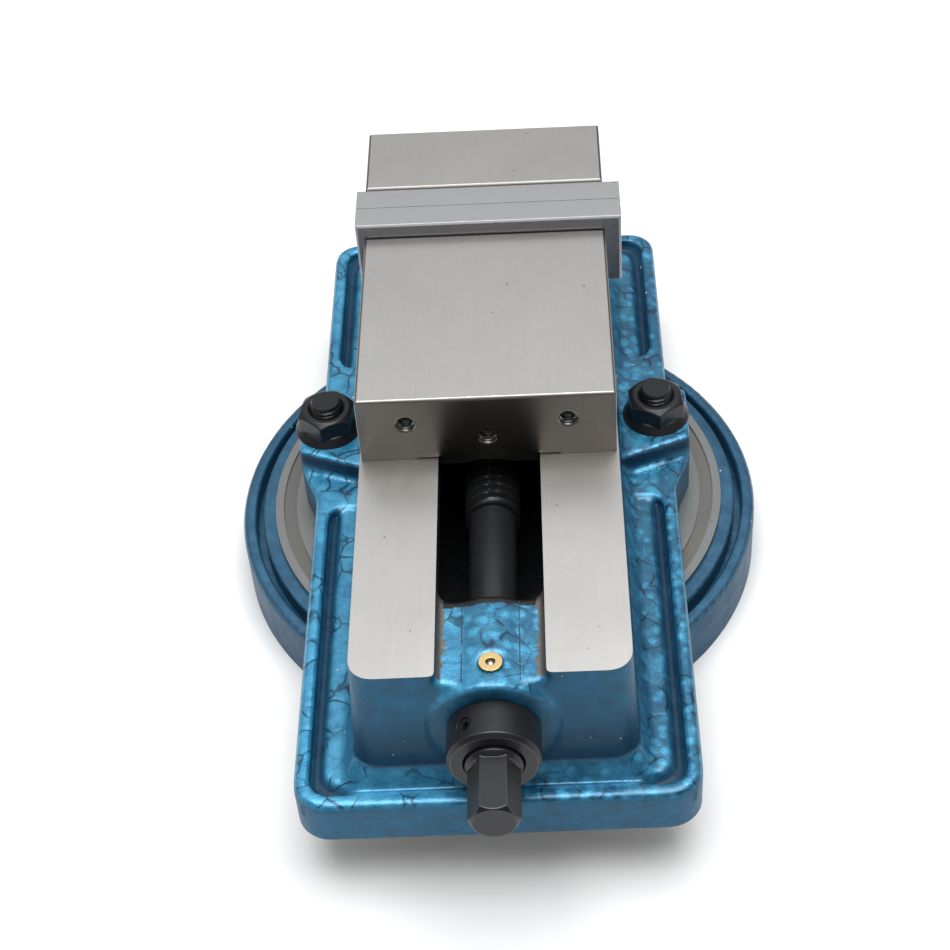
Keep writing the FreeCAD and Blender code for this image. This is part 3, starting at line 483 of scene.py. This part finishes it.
@dataclass(frozen=True)
class MachinedIron:
    """Ground, turned or blackened metal.

    The colour is linear, the depth of the grain is in millimetres, and the three shares give how
    dark and bright the colour's ends and its marks are.
    """

    DARK = 0.72
    BRIGHT = 1.22
    MARK = 0.35

    name: str
    colour: Colour
    roughness: float
    grain: Grain = Grain.ALONG
    line_contrast: float = 0.1
    stain: float = 0.05
    metallic: float = 1.0
    depth: float = 0.012

    def make(self) -> bpy.types.Material:
        """Build the material.

        Returns:
            The material.
        """
        r = Recipe(self.name)
        at = r.place()
        x, y, _ = r.apart(at)
        if self.grain is Grain.ROUND:
            radius = (x * x + y * y) ** 0.5
            lines = r.add("ShaderNodeTexNoise", {"noise_dimensions": "1D"},
                          {"W": radius * 2.4, "Scale": 1.0, "Detail": 3.0})
        elif self.grain is Grain.ALONG:
            lines = r.noise(r.stretched(at, (3.2, 0.05, 0.07)), 1.0, 3.0, 0.6)
        else:
            lines = r.noise(at, 1.6, 4.0, 0.65)
        cloud = r.noise(at, 0.045, 3.0, 0.55)
        speck = r.noise(at, 2.6, 2.0).ramp(0.34, 0.66)
        shade = (lines - 0.5) * self.line_contrast + (cloud - 0.5) * self.stain + (speck - 0.5) * 0.05
        dark = tuple(part * self.DARK for part in self.colour)
        bright = tuple(min(1.0, part * self.BRIGHT) for part in self.colour)
        colour = r.blend((0.5 + shade * 2.0).clamped(), dark, bright)
        marks = r.noise(at, 0.21, 1.0).ramp(0.79, 0.8)
        colour = r.blend(marks * 0.6, colour, tuple(part * self.MARK for part in self.colour))
        r.relief(lines * 0.8 + speck * 0.2, self.depth, 0.8)
        r.shade(Base_Color=colour, Metallic=self.metallic,
                Roughness=(self.roughness + shade * 0.5).clamped())
        return r.material


class Palette:
    """All finishes of the vise, made once."""

    def __init__(self) -> None:
        """Make every material."""
        finishes = (
            # The bed paint's two shade shares darken its tray floor, gutter and wall foot: painted
            # shade.
            HammerPaint("bed_hammer_paint", (0.085, 0.43, 0.68), (0.026, 0.195, 0.37),
                        (0.012, 0.088, 0.16), (0.004, 0.026, 0.06), cell=12.0, tray_floor_shade=0.12,
                        gutter=0.8, scraped=True),
            # The side colours here and above are painted shade on faces that do not look up.
            HammerPaint("base_paint", (0.028, 0.13, 0.225), (0.014, 0.08, 0.155),
                        (0.02, 0.085, 0.155), (0.008, 0.03, 0.07), cell=13.0, vein_strength=0.2),
            MachinedIron("ground_ways", (0.54, 0.52, 0.495), 0.38, stain=0.10),
            MachinedIron("ground_jaws", (0.575, 0.555, 0.53), 0.36, stain=0.08),
            # Darker copies of the jaw and plate steel: painted shade for faces that look at the handle
            # end.
            MachinedIron("shaded_jaw_face", (0.21, 0.195, 0.18), 0.34, line_contrast=0.16, stain=0.12),
            MachinedIron("shaded_plate_face", (0.22, 0.22, 0.23), 0.34),
            MachinedIron("hardened_plate", (0.57, 0.57, 0.575), 0.36, line_contrast=0.07),
            MachinedIron("turned_seat", (0.27, 0.275, 0.27), 0.42, Grain.ROUND, 0.16, 0.12),
            MachinedIron("scale_ring", (0.185, 0.18, 0.165), 0.52, Grain.ROUND, 0.18, 0.3, 0.85),
            MachinedIron("black_oxide", (0.028, 0.028, 0.031), 0.33, Grain.CLOUDY, 0.1, 0.1,
                         metallic=0.55, depth=0.01),
            # A lighter, more metallic colour for the broken edges of the black oxide parts.
            MachinedIron("lighter_edge", (0.075, 0.073, 0.07), 0.36, Grain.CLOUDY, 0.2, 0.1,
                         metallic=0.8, depth=0.01),
            MachinedIron("greased_screw", (0.035, 0.036, 0.038), 0.26, Grain.CLOUDY, 0.3, 0.3,
                         metallic=0.5, depth=0.08),
            MachinedIron("tool_steel", (0.36, 0.355, 0.35), 0.3, Grain.CLOUDY),
            MachinedIron("ductile_iron", (0.2, 0.195, 0.19), 0.5, Grain.CLOUDY, 0.2, 0.2,
                         metallic=0.8, depth=0.03),
            MachinedIron("bronze", (0.55, 0.33, 0.15), 0.34, Grain.CLOUDY),
            MachinedIron("turned_brass", (0.72, 0.52, 0.25), 0.32, Grain.CLOUDY, 0.12, 0.12),
        )
        self.made = {finish.name: finish.make() for finish in finishes}

    def __getitem__(self, name: str) -> bpy.types.Material:
        """Give a material by its name."""
        return self.made[name]


# ---------------------------------------------------------------- mesh tools


def shown(obj: bpy.types.Object) -> bpy.types.Object:
    """Put an object into the scene."""
    bpy.context.scene.collection.objects.link(obj)
    return obj


def merged_copy(node: str, name: str) -> bpy.types.Object:
    """Copy a CAD node's mesh into a new object and merge its loose triangles.

    Args:
        node: the CAD node's name.
        name: the new piece's name.

    Returns:
        The new object, in the scene.
    """
    source = bpy.data.objects[node]
    mesh = source.data.copy()
    mesh.name = name
    mesh.materials.clear()
    bm = bmesh.new()
    bm.from_mesh(mesh)
    bmesh.ops.remove_doubles(bm, verts=bm.verts, dist=WELD)
    bmesh.ops.dissolve_degenerate(bm, edges=bm.edges, dist=SLIVER)
    bm.to_mesh(mesh)
    bm.free()
    if "custom_normal" in mesh.attributes:
        mesh.attributes.remove(mesh.attributes["custom_normal"])
    return shown(bpy.data.objects.new(name, mesh))


def settled(obj: bpy.types.Object) -> bpy.types.Object:
    """Turn an object's live modifiers into plain mesh.

    Args:
        obj: the object.

    Returns:
        The same object, with no modifier.
    """
    bpy.context.view_layer.update()
    depsgraph = bpy.context.evaluated_depsgraph_get()
    mesh = bpy.data.meshes.new_from_object(obj.evaluated_get(depsgraph), preserve_all_data_layers=True,
                                           depsgraph=depsgraph)
    obj.modifiers.clear()
    old = obj.data
    obj.data = mesh
    mesh.name = obj.name
    bpy.data.meshes.remove(old)
    return obj


def smooth_shaded(obj: bpy.types.Object, angle: float = SHARP_ANGLE) -> bpy.types.Object:
    """Shade smoothly, with sharp edges where faces meet at more than an angle.

    Args:
        obj: the piece.
        angle: the angle, in radians.

    Returns:
        The same piece.
    """
    obj.data.shade_smooth()
    obj.data.set_sharp_from_angle(angle=angle)
    return obj


def painted(obj: bpy.types.Object, materials: list[bpy.types.Material],
            choose: Callable[[bpy.types.MeshPolygon], int]) -> bpy.types.Object:
    """Give each face one of several materials.

    Args:
        obj: the piece.
        materials: its material slots in order.
        choose: gives the slot of a face.

    Returns:
        The same piece.
    """
    obj.data.materials.clear()
    for material in materials:
        obj.data.materials.append(material)
    for polygon in obj.data.polygons:
        polygon.material_index = choose(polygon)
    return obj


def also_painted(obj: bpy.types.Object, material: bpy.types.Material,
                 chosen: Callable[[bpy.types.MeshPolygon], bool]) -> None:
    """Give one more material to the faces that pass a test.

    Args:
        obj: the piece.
        material: the material.
        chosen: tests a face.
    """
    obj.data.materials.append(material)
    index = len(obj.data.materials) - 1
    for polygon in obj.data.polygons:
        if chosen(polygon):
            polygon.material_index = index


def keep_part(obj: bpy.types.Object, plane: Vector, away: Vector) -> None:
    """Cut a piece at a plane, drop the side that away points to, and close the cut.

    Args:
        obj: the piece.
        plane: a point of the plane, in metres.
        away: the plane's normal.
    """
    bm = bmesh.new()
    bm.from_mesh(obj.data)
    result = bmesh.ops.bisect_plane(bm, geom=[*bm.verts, *bm.edges, *bm.faces], plane_co=plane,
                                    plane_no=away, clear_outer=True)
    rim = [item for item in result["geom_cut"] if isinstance(item, bmesh.types.BMEdge)]
    bmesh.ops.triangle_fill(bm, edges=rim, use_beauty=True, normal=away)
    bm.to_mesh(obj.data)
    bm.free()


def softened(node: str, name: str, width: float, materials: list[bpy.types.Material],
             trim: tuple[Vector, Vector] | None = None) -> bpy.types.Object:
    """Copy a CAD node with its edges broken, as a deburred part has them.

    Args:
        node: the CAD node.
        name: the new piece's name.
        width: width of the broken edge, in millimetres.
        materials: the faces' finish, and after it the finish of the broken edges.
        trim: a plane's point and normal past which the piece is cut off.

    Returns:
        The new piece.
    """
    obj = merged_copy(node, name)
    if trim:
        keep_part(obj, *trim)
    bm = bmesh.new()
    bm.from_mesh(obj.data)
    bmesh.ops.dissolve_limit(bm, angle_limit=FLAT_ANGLE, verts=bm.verts, edges=bm.edges)
    bm.to_mesh(obj.data)
    bm.free()
    for material in materials:
        obj.data.materials.append(material)
    bevel = obj.modifiers.new("broken_edges", "BEVEL")
    bevel.width = width * MM
    bevel.segments = 2
    bevel.limit_method = "ANGLE"
    bevel.angle_limit = EDGE_ANGLE
    bevel.use_clamp_overlap = False
    bevel.material = len(materials) - 1
    settled(obj)
    smooth_shaded(obj, SOFT_ANGLE)
    weights = obj.modifiers.new("flat_faces", "WEIGHTED_NORMAL")
    weights.keep_sharp = True
    return settled(obj)


def finished(piece: bpy.types.Object, body: str, slot: str, *nodes: str) -> bpy.types.Object:
    """Let a piece ride on its body and hide the CAD nodes it stands for.

    Args:
        piece: the piece.
        body: the body it moves with.
        slot: the name of a material slot; not used.
        nodes: the CAD nodes it stands for, if any.

    Returns:
        The same piece.
    """
    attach(piece, body)
    if nodes:
        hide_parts(*nodes)
    LOG.info("%s: %d faces on %s", piece.name, len(piece.data.polygons), body)
    return piece


# ---------------------------------------------------------------- geometry node trees


class GeometryTree(Nodes):
    """A geometry node tree with named inputs."""

    def __init__(self, name: str, inputs: dict[str, str]) -> None:
        """Start a tree.

        Args:
            name: the tree's name.
            inputs: the kind of each named input.
        """
        group = bpy.data.node_groups.new(name, "GeometryNodeTree")
        super().__init__(group)
        group.interface.new_socket(name="Geometry", in_out="OUTPUT", socket_type="NodeSocketGeometry")
        self.identifiers: dict[str, str] = {}
        for label, kind in {**inputs, "Material": "NodeSocketMaterial"}.items():
            socket = group.interface.new_socket(name=label, in_out="INPUT", socket_type=kind)
            self.identifiers[label] = socket.identifier
        self.entry = group.nodes.new("NodeGroupInput")

    def given(self, label: str) -> Value:
        """Give a named input as a value."""
        return Value(self.tree, self.entry.outputs[label])

    def close(self, geometry: Value) -> None:
        """End the tree in Realize Instances and Set Material.

        Args:
            geometry: what the tree made.
        """
        real = self.add("GeometryNodeRealizeInstances", None, {"Geometry": geometry})
        dressed = self.add("GeometryNodeSetMaterial", None,
                           {"Geometry": real, "Material": self.given("Material")})
        out = self.tree.nodes.new("NodeGroupOutput")
        feed(self.tree, out.inputs["Geometry"], dressed)

    def run(self, name: str, **inputs: object) -> bpy.types.Object:
        """Make a plain mesh with this tree.

        Args:
            name: the new piece's name.
            inputs: values of the named inputs, with underscores for spaces.

        Returns:
            The piece, with the modifier already removed.
        """
        obj = shown(bpy.data.objects.new(name, bpy.data.meshes.new(name)))
        modifier = obj.modifiers.new(name, "NODES")
        modifier.node_group = self.tree
        for label, operand in inputs.items():
            modifier[self.identifiers[label.replace("_", " ")]] = operand
        obj.update_tag()
        bpy.context.view_layer.update()
        settled(obj)
        return smooth_shaded(obj)


class ThreadedRod(GeometryTree):
    """A rod along Z, centred on the origin, with a helical ridge raised on it."""

    AROUND = 60
    ROWS_PER_TURN = 14
    WHOLE_TURNS = 100.0
    LEAD_IN = 1.4

    def __init__(self) -> None:
        """Build the tree."""
        number = "NodeSocketFloat"
        super().__init__("threaded_rod", {"Root Radius": number, "Ridge": number, "Pitch": number,
                                          "Length": number, "Flank": number})
        length, pitch, root = self.given("Length"), self.given("Pitch"), self.given("Root Radius")
        rows = length / pitch * float(self.ROWS_PER_TURN)
        rod = self.add("GeometryNodeMeshCylinder", {"fill_type": "NGON"},
                       {"Vertices": self.AROUND, "Side Segments": rows, "Radius": root,
                        "Depth": length})
        x, y, z = self.apart(self.add("GeometryNodeInputPosition"))
        turn = y.math("ARCTAN2", y, x) / (2 * math.pi)
        wave = abs((z / pitch - turn + self.WHOLE_TURNS).fraction() - 0.5) * 2.0
        ridge = ((wave - 0.5) * self.given("Flank") + 0.5).clamped()
        lead_in = ((length / 2.0 - abs(z)) / pitch * self.LEAD_IN).clamped()
        grown = 1.0 + ridge * lead_in * self.given("Ridge") / root
        point = self.add("ShaderNodeCombineXYZ", None, {0: x * grown, 1: y * grown, 2: z})
        self.close(self.add("GeometryNodeSetPosition", None, {"Geometry": rod, "Position": point}))


class TappedHole(GeometryTree):
    """The thread inside a hole: a coil along Z from the origin, half sunk in the wall."""

    AROUND = 32
    SECTION = 6

    def __init__(self) -> None:
        """Build the tree."""
        number = "NodeSocketFloat"
        super().__init__("tapped_hole", {"Radius": number, "Ridge": number, "Pitch": number,
                                         "Length": number})
        turns = self.given("Length") / self.given("Pitch")
        coil = self.add("GeometryNodeCurveSpiral", None,
                        {"Resolution": self.AROUND, "Rotations": turns,
                         "Start Radius": self.given("Radius"), "End Radius": self.given("Radius"),
                         "Height": self.given("Length")})
        section = self.add("GeometryNodeCurvePrimitiveCircle", {"mode": "RADIUS"},
                           {"Resolution": self.SECTION, "Radius": self.given("Ridge")})
        self.close(self.add("GeometryNodeCurveToMesh", None,
                            {"Curve": coil, "Profile Curve": section, "Fill Caps": True}))


def moved(obj: bpy.types.Object, at: Vector, turn: Matrix | None = None) -> bpy.types.Object:
    """Move a piece's mesh, in millimetres, after turning it."""
    obj.data.transform(Matrix.Translation(at * MM) @ (turn or Matrix()))
    return obj


# ---------------------------------------------------------------- sub-assemblies


@dataclass
class Casting:
    """An iron casting: rough skin everywhere, then machined flat at its top and underside.

    Sizes are in millimetres, and sharp is the angle in degrees past which an edge stays sharp.
    """

    node: str
    name: str
    top: float
    underside: float
    voxel: float = 1.15
    allowance: float = 3.0
    passes: int = 5
    triangles: int = 150_000
    touch: float = 0.25
    sharp: float = 48.0

    def build(self) -> bpy.types.Object:
        """Cast, smooth and machine the piece.

        Returns:
            The casting, in the scene.
        """
        obj = merged_copy(self.node, self.name)
        for vertex in obj.data.vertices:
            if vertex.co.z > (self.top - self.touch) * MM:
                vertex.co.z += self.allowance * MM
            elif vertex.co.z < (self.underside + self.touch) * MM:
                vertex.co.z -= self.allowance * MM
        skin = obj.modifiers.new("skin", "REMESH")
        skin.mode = "VOXEL"
        skin.voxel_size = self.voxel * MM
        rounding = obj.modifiers.new("rounding", "SMOOTH")
        rounding.factor = 0.5
        rounding.iterations = self.passes
        settled(obj)
        triangles = sum(len(polygon.vertices) - 2 for polygon in obj.data.polygons)
        if triangles > self.triangles:
            thin = obj.modifiers.new("thin", "DECIMATE")
            thin.ratio = self.triangles / triangles
            settled(obj)
        self.machine(obj)
        return smooth_shaded(obj, math.radians(self.sharp))

    def machine(self, obj: bpy.types.Object) -> None:
        """Cut the machining allowance off the top and the underside."""
        keep_part(obj, Vector((0, 0, self.top * MM)), Vector((0, 0, 1)))
        keep_part(obj, Vector((0, 0, self.underside * MM)), Vector((0, 0, -1)))


@dataclass
class Bed:
    """The bed casting with its ground ways and underside, and the ball oiler sunk in it.

    Pressed is the share of its height to which the oiler's spring is drawn, and level is how far
    up or down a ground face has to look.
    """

    palette: Palette
    casting: Casting = field(default_factory=lambda: Casting("vise_body", "bed_casting", 94.0, 27.0))
    pressed: float = 0.62
    level: float = 0.995
    touch: float = 0.05

    def build(self) -> None:
        """Build the bed's pieces."""
        body = self.casting.build()
        painted(body, [self.palette["bed_hammer_paint"], self.palette["ground_ways"]], self.finish_of)
        finished(body, "bed", "body_paint", "vise_body")
        ring = softened("oiler_body", "oiler_ring", 0.15, [self.palette["turned_brass"]])
        finished(ring, "bed", "brass", "oiler_body")
        coil = smooth_shaded(merged_copy("oiler_spring", "oiler_coil"))
        painted(coil, [self.palette["tool_steel"]], lambda polygon: 0)
        foot = min(vertex.co.z for vertex in coil.data.vertices)
        for vertex in coil.data.vertices:
            vertex.co.z = foot + (vertex.co.z - foot) * self.pressed
        finished(coil, "bed", "tool_steel", "oiler_spring")

    def finish_of(self, polygon: bpy.types.MeshPolygon) -> int:
        """Tell ground faces from painted ones.

        Args:
            polygon: a face of the casting.

        Returns:
            The number of its material slot.
        """
        z = polygon.center.z / MM
        top, underside = self.casting.top - self.touch, self.casting.underside + self.touch
        return int(abs(polygon.normal.z) > self.level and (z > top or z < underside))


@dataclass
class Base:
    """The round base: painted lip and drain groove, ground rims and a grey scale ring.

    Radii and heights are in millimetres. Faces between the underside and the scrape, which is the
    depth of bare iron below the ring's floor, are painted.
    """

    palette: Palette
    rim_outer: float = 87.8
    rim_inner: float = 84.6
    seat_outer: float = 79.5
    ring_floor: float = 26.2
    ring_rise: float = 0.3
    scrape: float = 4.0
    underside: float = 1.0
    touch: float = 0.05

    def build(self) -> None:
        """Build the base's pieces."""
        disc = smooth_shaded(merged_copy("swivel_base", "base_casting"), SOFT_ANGLE)
        corners = [Vector(vertex.co) / MM for vertex in disc.data.vertices]
        finishes = [self.palette[name] for name in ("base_paint", "turned_seat", "scale_ring")]
        painted(disc, finishes,
                lambda polygon: self.finish_of([corners[index] for index in polygon.vertices]))
        finished(disc, "base", "casting_paint", "swivel_base")

    def finish_of(self, corners: list[Vector]) -> int:
        """Tell paint, ground rims and scale ring apart by a face's corners.

        Args:
            corners: their places, in millimetres.

        Returns:
            The number of the face's material slot.
        """
        radius = sum(corner.xy.length for corner in corners) / len(corners)
        z = sum(corner.z for corner in corners) / len(corners)
        on_side = self.underside < z < self.ring_floor - self.scrape
        if on_side or radius > self.rim_outer + 2 * self.touch:
            return 0
        on_ring = self.seat_outer + self.touch < radius < self.rim_inner - self.touch
        return 2 if on_ring and self.underside < z < self.ring_floor + self.ring_rise else 1


@dataclass
class Jaws:
    """Both jaws, their plates and the tapped holes in the movable one.

    Sizes are in millimetres. Each hole has its place across, its height and its thread's length.
    Frontal and slanted are limits of a face's direction, from -1 to 1, that pick the faces which
    get painted shade.
    """

    palette: Palette
    tapped: TappedHole
    edge: float = 0.3
    plate_edge: float = 0.12
    face: float = -49.0
    holes: tuple[Triple, ...] = ((-28.3, 110.8, 11.0), (28.3, 110.8, 11.0), (0.0, 103.5, 6.0))
    hole_radius: float = 3.02
    hole_ridge: float = 0.32
    hole_pitch: float = 1.0
    first_turn: float = 0.9
    tongue_reach: Pair = (17.2, 18.4)
    tongue_ease: float = 0.5
    way_top: float = 94.0
    touch: float = 0.05
    frontal: float = -0.6
    slanted: Pair = (0.1, 0.95)

    def build(self) -> None:
        """Build the jaws' pieces."""
        ground = [self.palette["ground_jaws"]]
        plate = [self.palette["hardened_plate"]]
        for node, name, body in (("fixed_jaw", "fixed_jaw_block", "bed"),
                                 ("movable_jaw", "movable_jaw_block", "jaw")):
            jaw = softened(node, name, self.edge, ground)
            if body == "jaw":
                self.ease_tongue(jaw)
            # Painted shade: faces that look at the handle end and the broken edges take a darker copy.
            also_painted(jaw, self.palette["shaded_jaw_face"], self.gets_painted_shade)
            finished(jaw, body, "ground_iron", node)
        for node, name, body in (("fixed_jaw_plate", "fixed_plate", "bed"),
                                 ("movable_jaw_plate", "movable_plate", "jaw")):
            slab = softened(node, name, self.plate_edge, plate)
            # Painted shade: the plates' faces towards the handle end and their broken edges take a
            # darker copy.
            also_painted(slab, self.palette["shaded_plate_face"], self.gets_painted_shade)
            finished(slab, body, "hardened_steel", node)
        inward = Matrix.Rotation(math.radians(-90), 4, "X")
        for number, (x, z, length) in enumerate(self.holes, start=1):
            thread = self.tapped.run(f"hole_thread_{number}", Radius=self.hole_radius * MM,
                                     Ridge=self.hole_ridge * MM, Pitch=self.hole_pitch * MM,
                                     Length=length * MM,
                                     Material=self.palette["tool_steel"])
            moved(thread, Vector((x, self.face + self.first_turn, z)), inward)
            finished(thread, "jaw", "ground_iron")

    def ease_tongue(self, jaw: bpy.types.Object) -> None:
        """Give the tongue under the jaw more side play, as the cast slot beside it is not sharp.

        Args:
            jaw: the movable jaw.
        """
        low, high = self.tongue_reach
        for vertex in jaw.data.vertices:
            if low < abs(vertex.co.x) / MM < high and vertex.co.z / MM < self.way_top + self.touch:
                vertex.co.x -= math.copysign(self.tongue_ease * MM, vertex.co.x)

    def gets_painted_shade(self, polygon: bpy.types.MeshPolygon) -> bool:
        """Tell faces in painted shade: those looking at the handle end, and the broken edges."""
        low, high = self.slanted
        return polygon.normal.y < self.frontal or low < polygon.normal.z < high


@dataclass
class Screw:
    """The lead screw with its helical thread, and the collar on it, in millimetres."""

    palette: Palette
    rod: ThreadedRod
    height: float = 70.0
    thread_front: float = -58.5
    thread_rear: float = 60.0
    thread_radius: float = 10.0
    root_radius: float = 7.9
    pitch: float = 4.0
    flank: float = 2.6
    bare: float = -130.0
    edge: float = 0.2
    fine_edge: float = 0.12

    def build(self) -> None:
        """Build the screw's pieces."""
        # The broken edges of the shank, hex and collar take a lighter, more metallic colour.
        black, edge_colour = self.palette["black_oxide"], self.palette["lighter_edge"]
        cut = (Vector((0, self.thread_front * MM, 0)), Vector((0, 1, 0)))
        shank = softened("lead_screw", "screw_shank", self.edge, [black, edge_colour], cut)
        also_painted(shank, self.palette["greased_screw"],
                     lambda polygon: polygon.center.y > self.bare * MM)
        finished(shank, "screw", "tool_steel", "lead_screw")
        length = self.thread_rear - self.thread_front
        thread = self.rod.run("screw_thread", Root_Radius=self.root_radius * MM,
                              Ridge=(self.thread_radius - self.root_radius) * MM,
                              Pitch=self.pitch * MM, Length=length * MM, Flank=self.flank,
                              Material=self.palette["greased_screw"])
        middle = Vector((0, (self.thread_front + self.thread_rear) / 2, self.height))
        moved(thread, middle, Matrix.Rotation(math.radians(-90), 4, "X"))
        finished(thread, "screw", "tool_steel")
        collar = softened("screw_collar", "collar", self.edge, [black, edge_colour])
        finished(collar, "screw", "black_oxide", "screw_collar")
        grub = softened("collar_set_screw", "collar_grub_screw", self.fine_edge, [black])
        finished(grub, "screw", "black_oxide", "collar_set_screw")


@dataclass
class Clamps:
    """The two clamp bolts with their threads, and their flanged nuts, in millimetres."""

    palette: Palette
    rod: ThreadedRod
    across: tuple[tuple[str, float], ...] = (("left", -64.6), ("right", 63.0))
    along: float = 12.0
    thread_low: float = 46.0
    top: float = 67.2
    radius: float = 5.95
    root_radius: float = 5.15
    pitch: float = 1.75
    flank: float = 1.6
    overlap: float = 1.0
    shank_edge: float = 0.3
    nut_edge: float = 0.35

    def build(self) -> None:
        """Build the clamps' pieces."""
        black = self.palette["black_oxide"]
        cut = (Vector((0, 0, (self.thread_low + self.overlap) * MM)), Vector((0, 0, 1)))
        shanks = softened("clamp_bolts", "clamp_bolt_shanks", self.shank_edge, [black], cut)
        finished(shanks, "bed", "black_oxide", "clamp_bolts")
        for side, across in self.across:
            stud = self.rod.run(f"stud_thread_{side}", Root_Radius=self.root_radius * MM,
                                Ridge=(self.radius - self.root_radius) * MM, Pitch=self.pitch * MM,
                                Length=(self.top - self.thread_low) * MM, Flank=self.flank,
                                Material=black)
            moved(stud, Vector((across, self.along, (self.top + self.thread_low) / 2)))
            finished(stud, "bed", "black_oxide")
            nut = softened(f"clamp_nut_{side}", f"flange_nut_{side}", self.nut_edge, [black, black])
            finished(nut, f"nut_{side}", "black_oxide", f"clamp_nut_{side}")


HIDDEN_FINISHES = {
    "pivot_pin": "tool_steel",
    "fixed_jaw_key": "tool_steel",
    "fixed_jaw_bolts": "black_oxide",
    "fixed_plate_screws": "black_oxide",
    "movable_plate_screws": "black_oxide",
    "jaw_nut": "ductile_iron",
    "half_ball": "tool_steel",
    "jaw_lock_screw": "black_oxide",
    "screw_bush": "bronze",
    "thrust_race_front": "tool_steel",
    "thrust_race_rear": "tool_steel",
    "thrust_cage": "turned_brass",
    "oiler_ball": "tool_steel",
}


def dress_hidden(palette: Palette) -> None:
    """Give the carried-over CAD nodes their finish.

    Args:
        palette: all finishes.
    """
    for node, finish in HIDDEN_FINISHES.items():
        obj = bpy.data.objects[node]
        for slot in obj.material_slots:
            slot.material = palette[finish]


# ---------------------------------------------------------------- studio


@dataclass(frozen=True)
class Viewpoint:
    """The camera: place, lens and sensor in millimetres, angles in degrees, clip in metres."""

    place: Triple = (24.8, -546.3, 584.1)
    elevation: float = 45.21
    azimuth: float = -0.977
    roll: float = -2.951
    lens: float = 74.79
    shift: Pair = (-0.0646, 0.001)
    sensor: float = 36.0
    clip: Pair = (0.05, 20.0)

    def build(self) -> None:
        """Make the camera and use it."""
        camera = bpy.data.cameras.new("studio_camera")
        camera.lens = self.lens
        camera.sensor_width = self.sensor
        camera.shift_x, camera.shift_y = self.shift
        camera.clip_start, camera.clip_end = self.clip
        obj = shown(bpy.data.objects.new("studio_camera", camera))
        el, az, roll = (math.radians(angle) for angle in (self.elevation, self.azimuth, self.roll))
        ahead = Vector((math.sin(az) * math.cos(el), math.cos(az) * math.cos(el), -math.sin(el)))
        right = ahead.cross(Vector((0, 0, 1))).normalized()
        above = right.cross(ahead)
        side = math.cos(roll) * right + math.sin(roll) * above
        up = -math.sin(roll) * right + math.cos(roll) * above
        turn = Matrix((side, up, -ahead)).transposed().to_4x4()
        obj.matrix_world = Matrix.Translation(Vector(self.place) * MM) @ turn
        bpy.context.scene.camera = obj


@dataclass(frozen=True)
class SoftBox:
    """A square area light that points at the vise, in metres and watts."""

    name: str
    place: Triple
    size: float
    power: float
    aim: Triple = (0.0, 0.0, 0.06)

    def build(self) -> None:
        """Make the light."""
        light = bpy.data.lights.new(self.name, "AREA")
        light.shape = "SQUARE"
        light.size = self.size
        light.energy = self.power
        obj = shown(bpy.data.objects.new(self.name, light))
        gaze = Vector(self.aim) - Vector(self.place)
        turn = gaze.to_track_quat("-Z", "Y").to_matrix().to_4x4()
        obj.matrix_world = Matrix.Translation(self.place) @ turn


class Studio:
    """Pale floor, soft light and camera."""

    OVERHEAD = SoftBox("overhead", (0.05, -0.15, 1.5), 1.3, 26.0)
    SKY = (0.95, 0.98, 1.0, 1.0)
    FLOOR_HALF = 3.0

    def build(self) -> None:
        """Make the room, the light, the camera and the floor."""
        bpy.context.scene.view_settings.view_transform = "Standard"
        self.room()
        self.OVERHEAD.build()
        Viewpoint().build()
        self.floor()

    def room(self) -> None:
        """Make a world that is bright above and behind the vise and dark in front of it."""
        world = bpy.data.worlds.new("soft_room")
        world.use_nodes = True
        nodes = Nodes(world.node_tree)
        _, y, z = nodes.apart(nodes.add("ShaderNodeTexCoord", output="Generated"))
        behind = y.ramp(-0.35, 0.35)
        high = z.ramp(0.3, 1.0)
        glow = 0.1 + behind * (0.2 + 0.8 * high) + (1.0 - behind) * high * 0.35
        background = world.node_tree.nodes["Background"]
        background.inputs["Color"].default_value = self.SKY
        feed(world.node_tree, background.inputs["Strength"], glow)
        bpy.context.scene.world = world

    def floor(self) -> None:
        """Make the pale floor, whose half width is in metres."""
        half = self.FLOOR_HALF
        mesh = bpy.data.meshes.new("studio_floor")
        corners = [(-half, -half, 0), (half, -half, 0), (half, half, 0), (-half, half, 0)]
        mesh.from_pydata(corners, [], [(0, 1, 2, 3)])
        r = Recipe("pale_floor")
        grain = r.noise(r.place(), 0.02, 2.0)
        r.shade(Base_Color=r.blend(grain, (0.88, 0.88, 0.88), (0.9, 0.9, 0.9)), Roughness=0.9)
        mesh.materials.append(r.material)
        shown(bpy.data.objects.new("studio_floor", mesh))


def main() -> None:
    """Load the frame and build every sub-assembly."""
    logging.basicConfig(level=logging.INFO, format="%(name)s: %(message)s")
    for leftover in list(bpy.data.objects):
        bpy.data.objects.remove(leftover)
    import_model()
    Studio().build()
    palette = Palette()
    dress_hidden(palette)
    rod = ThreadedRod()
    Bed(palette).build()
    Base(palette).build()
    Jaws(palette, TappedHole()).build()
    Screw(palette, rod).build()
    Clamps(palette, rod).build()


if __name__ == "__main__":
    main()
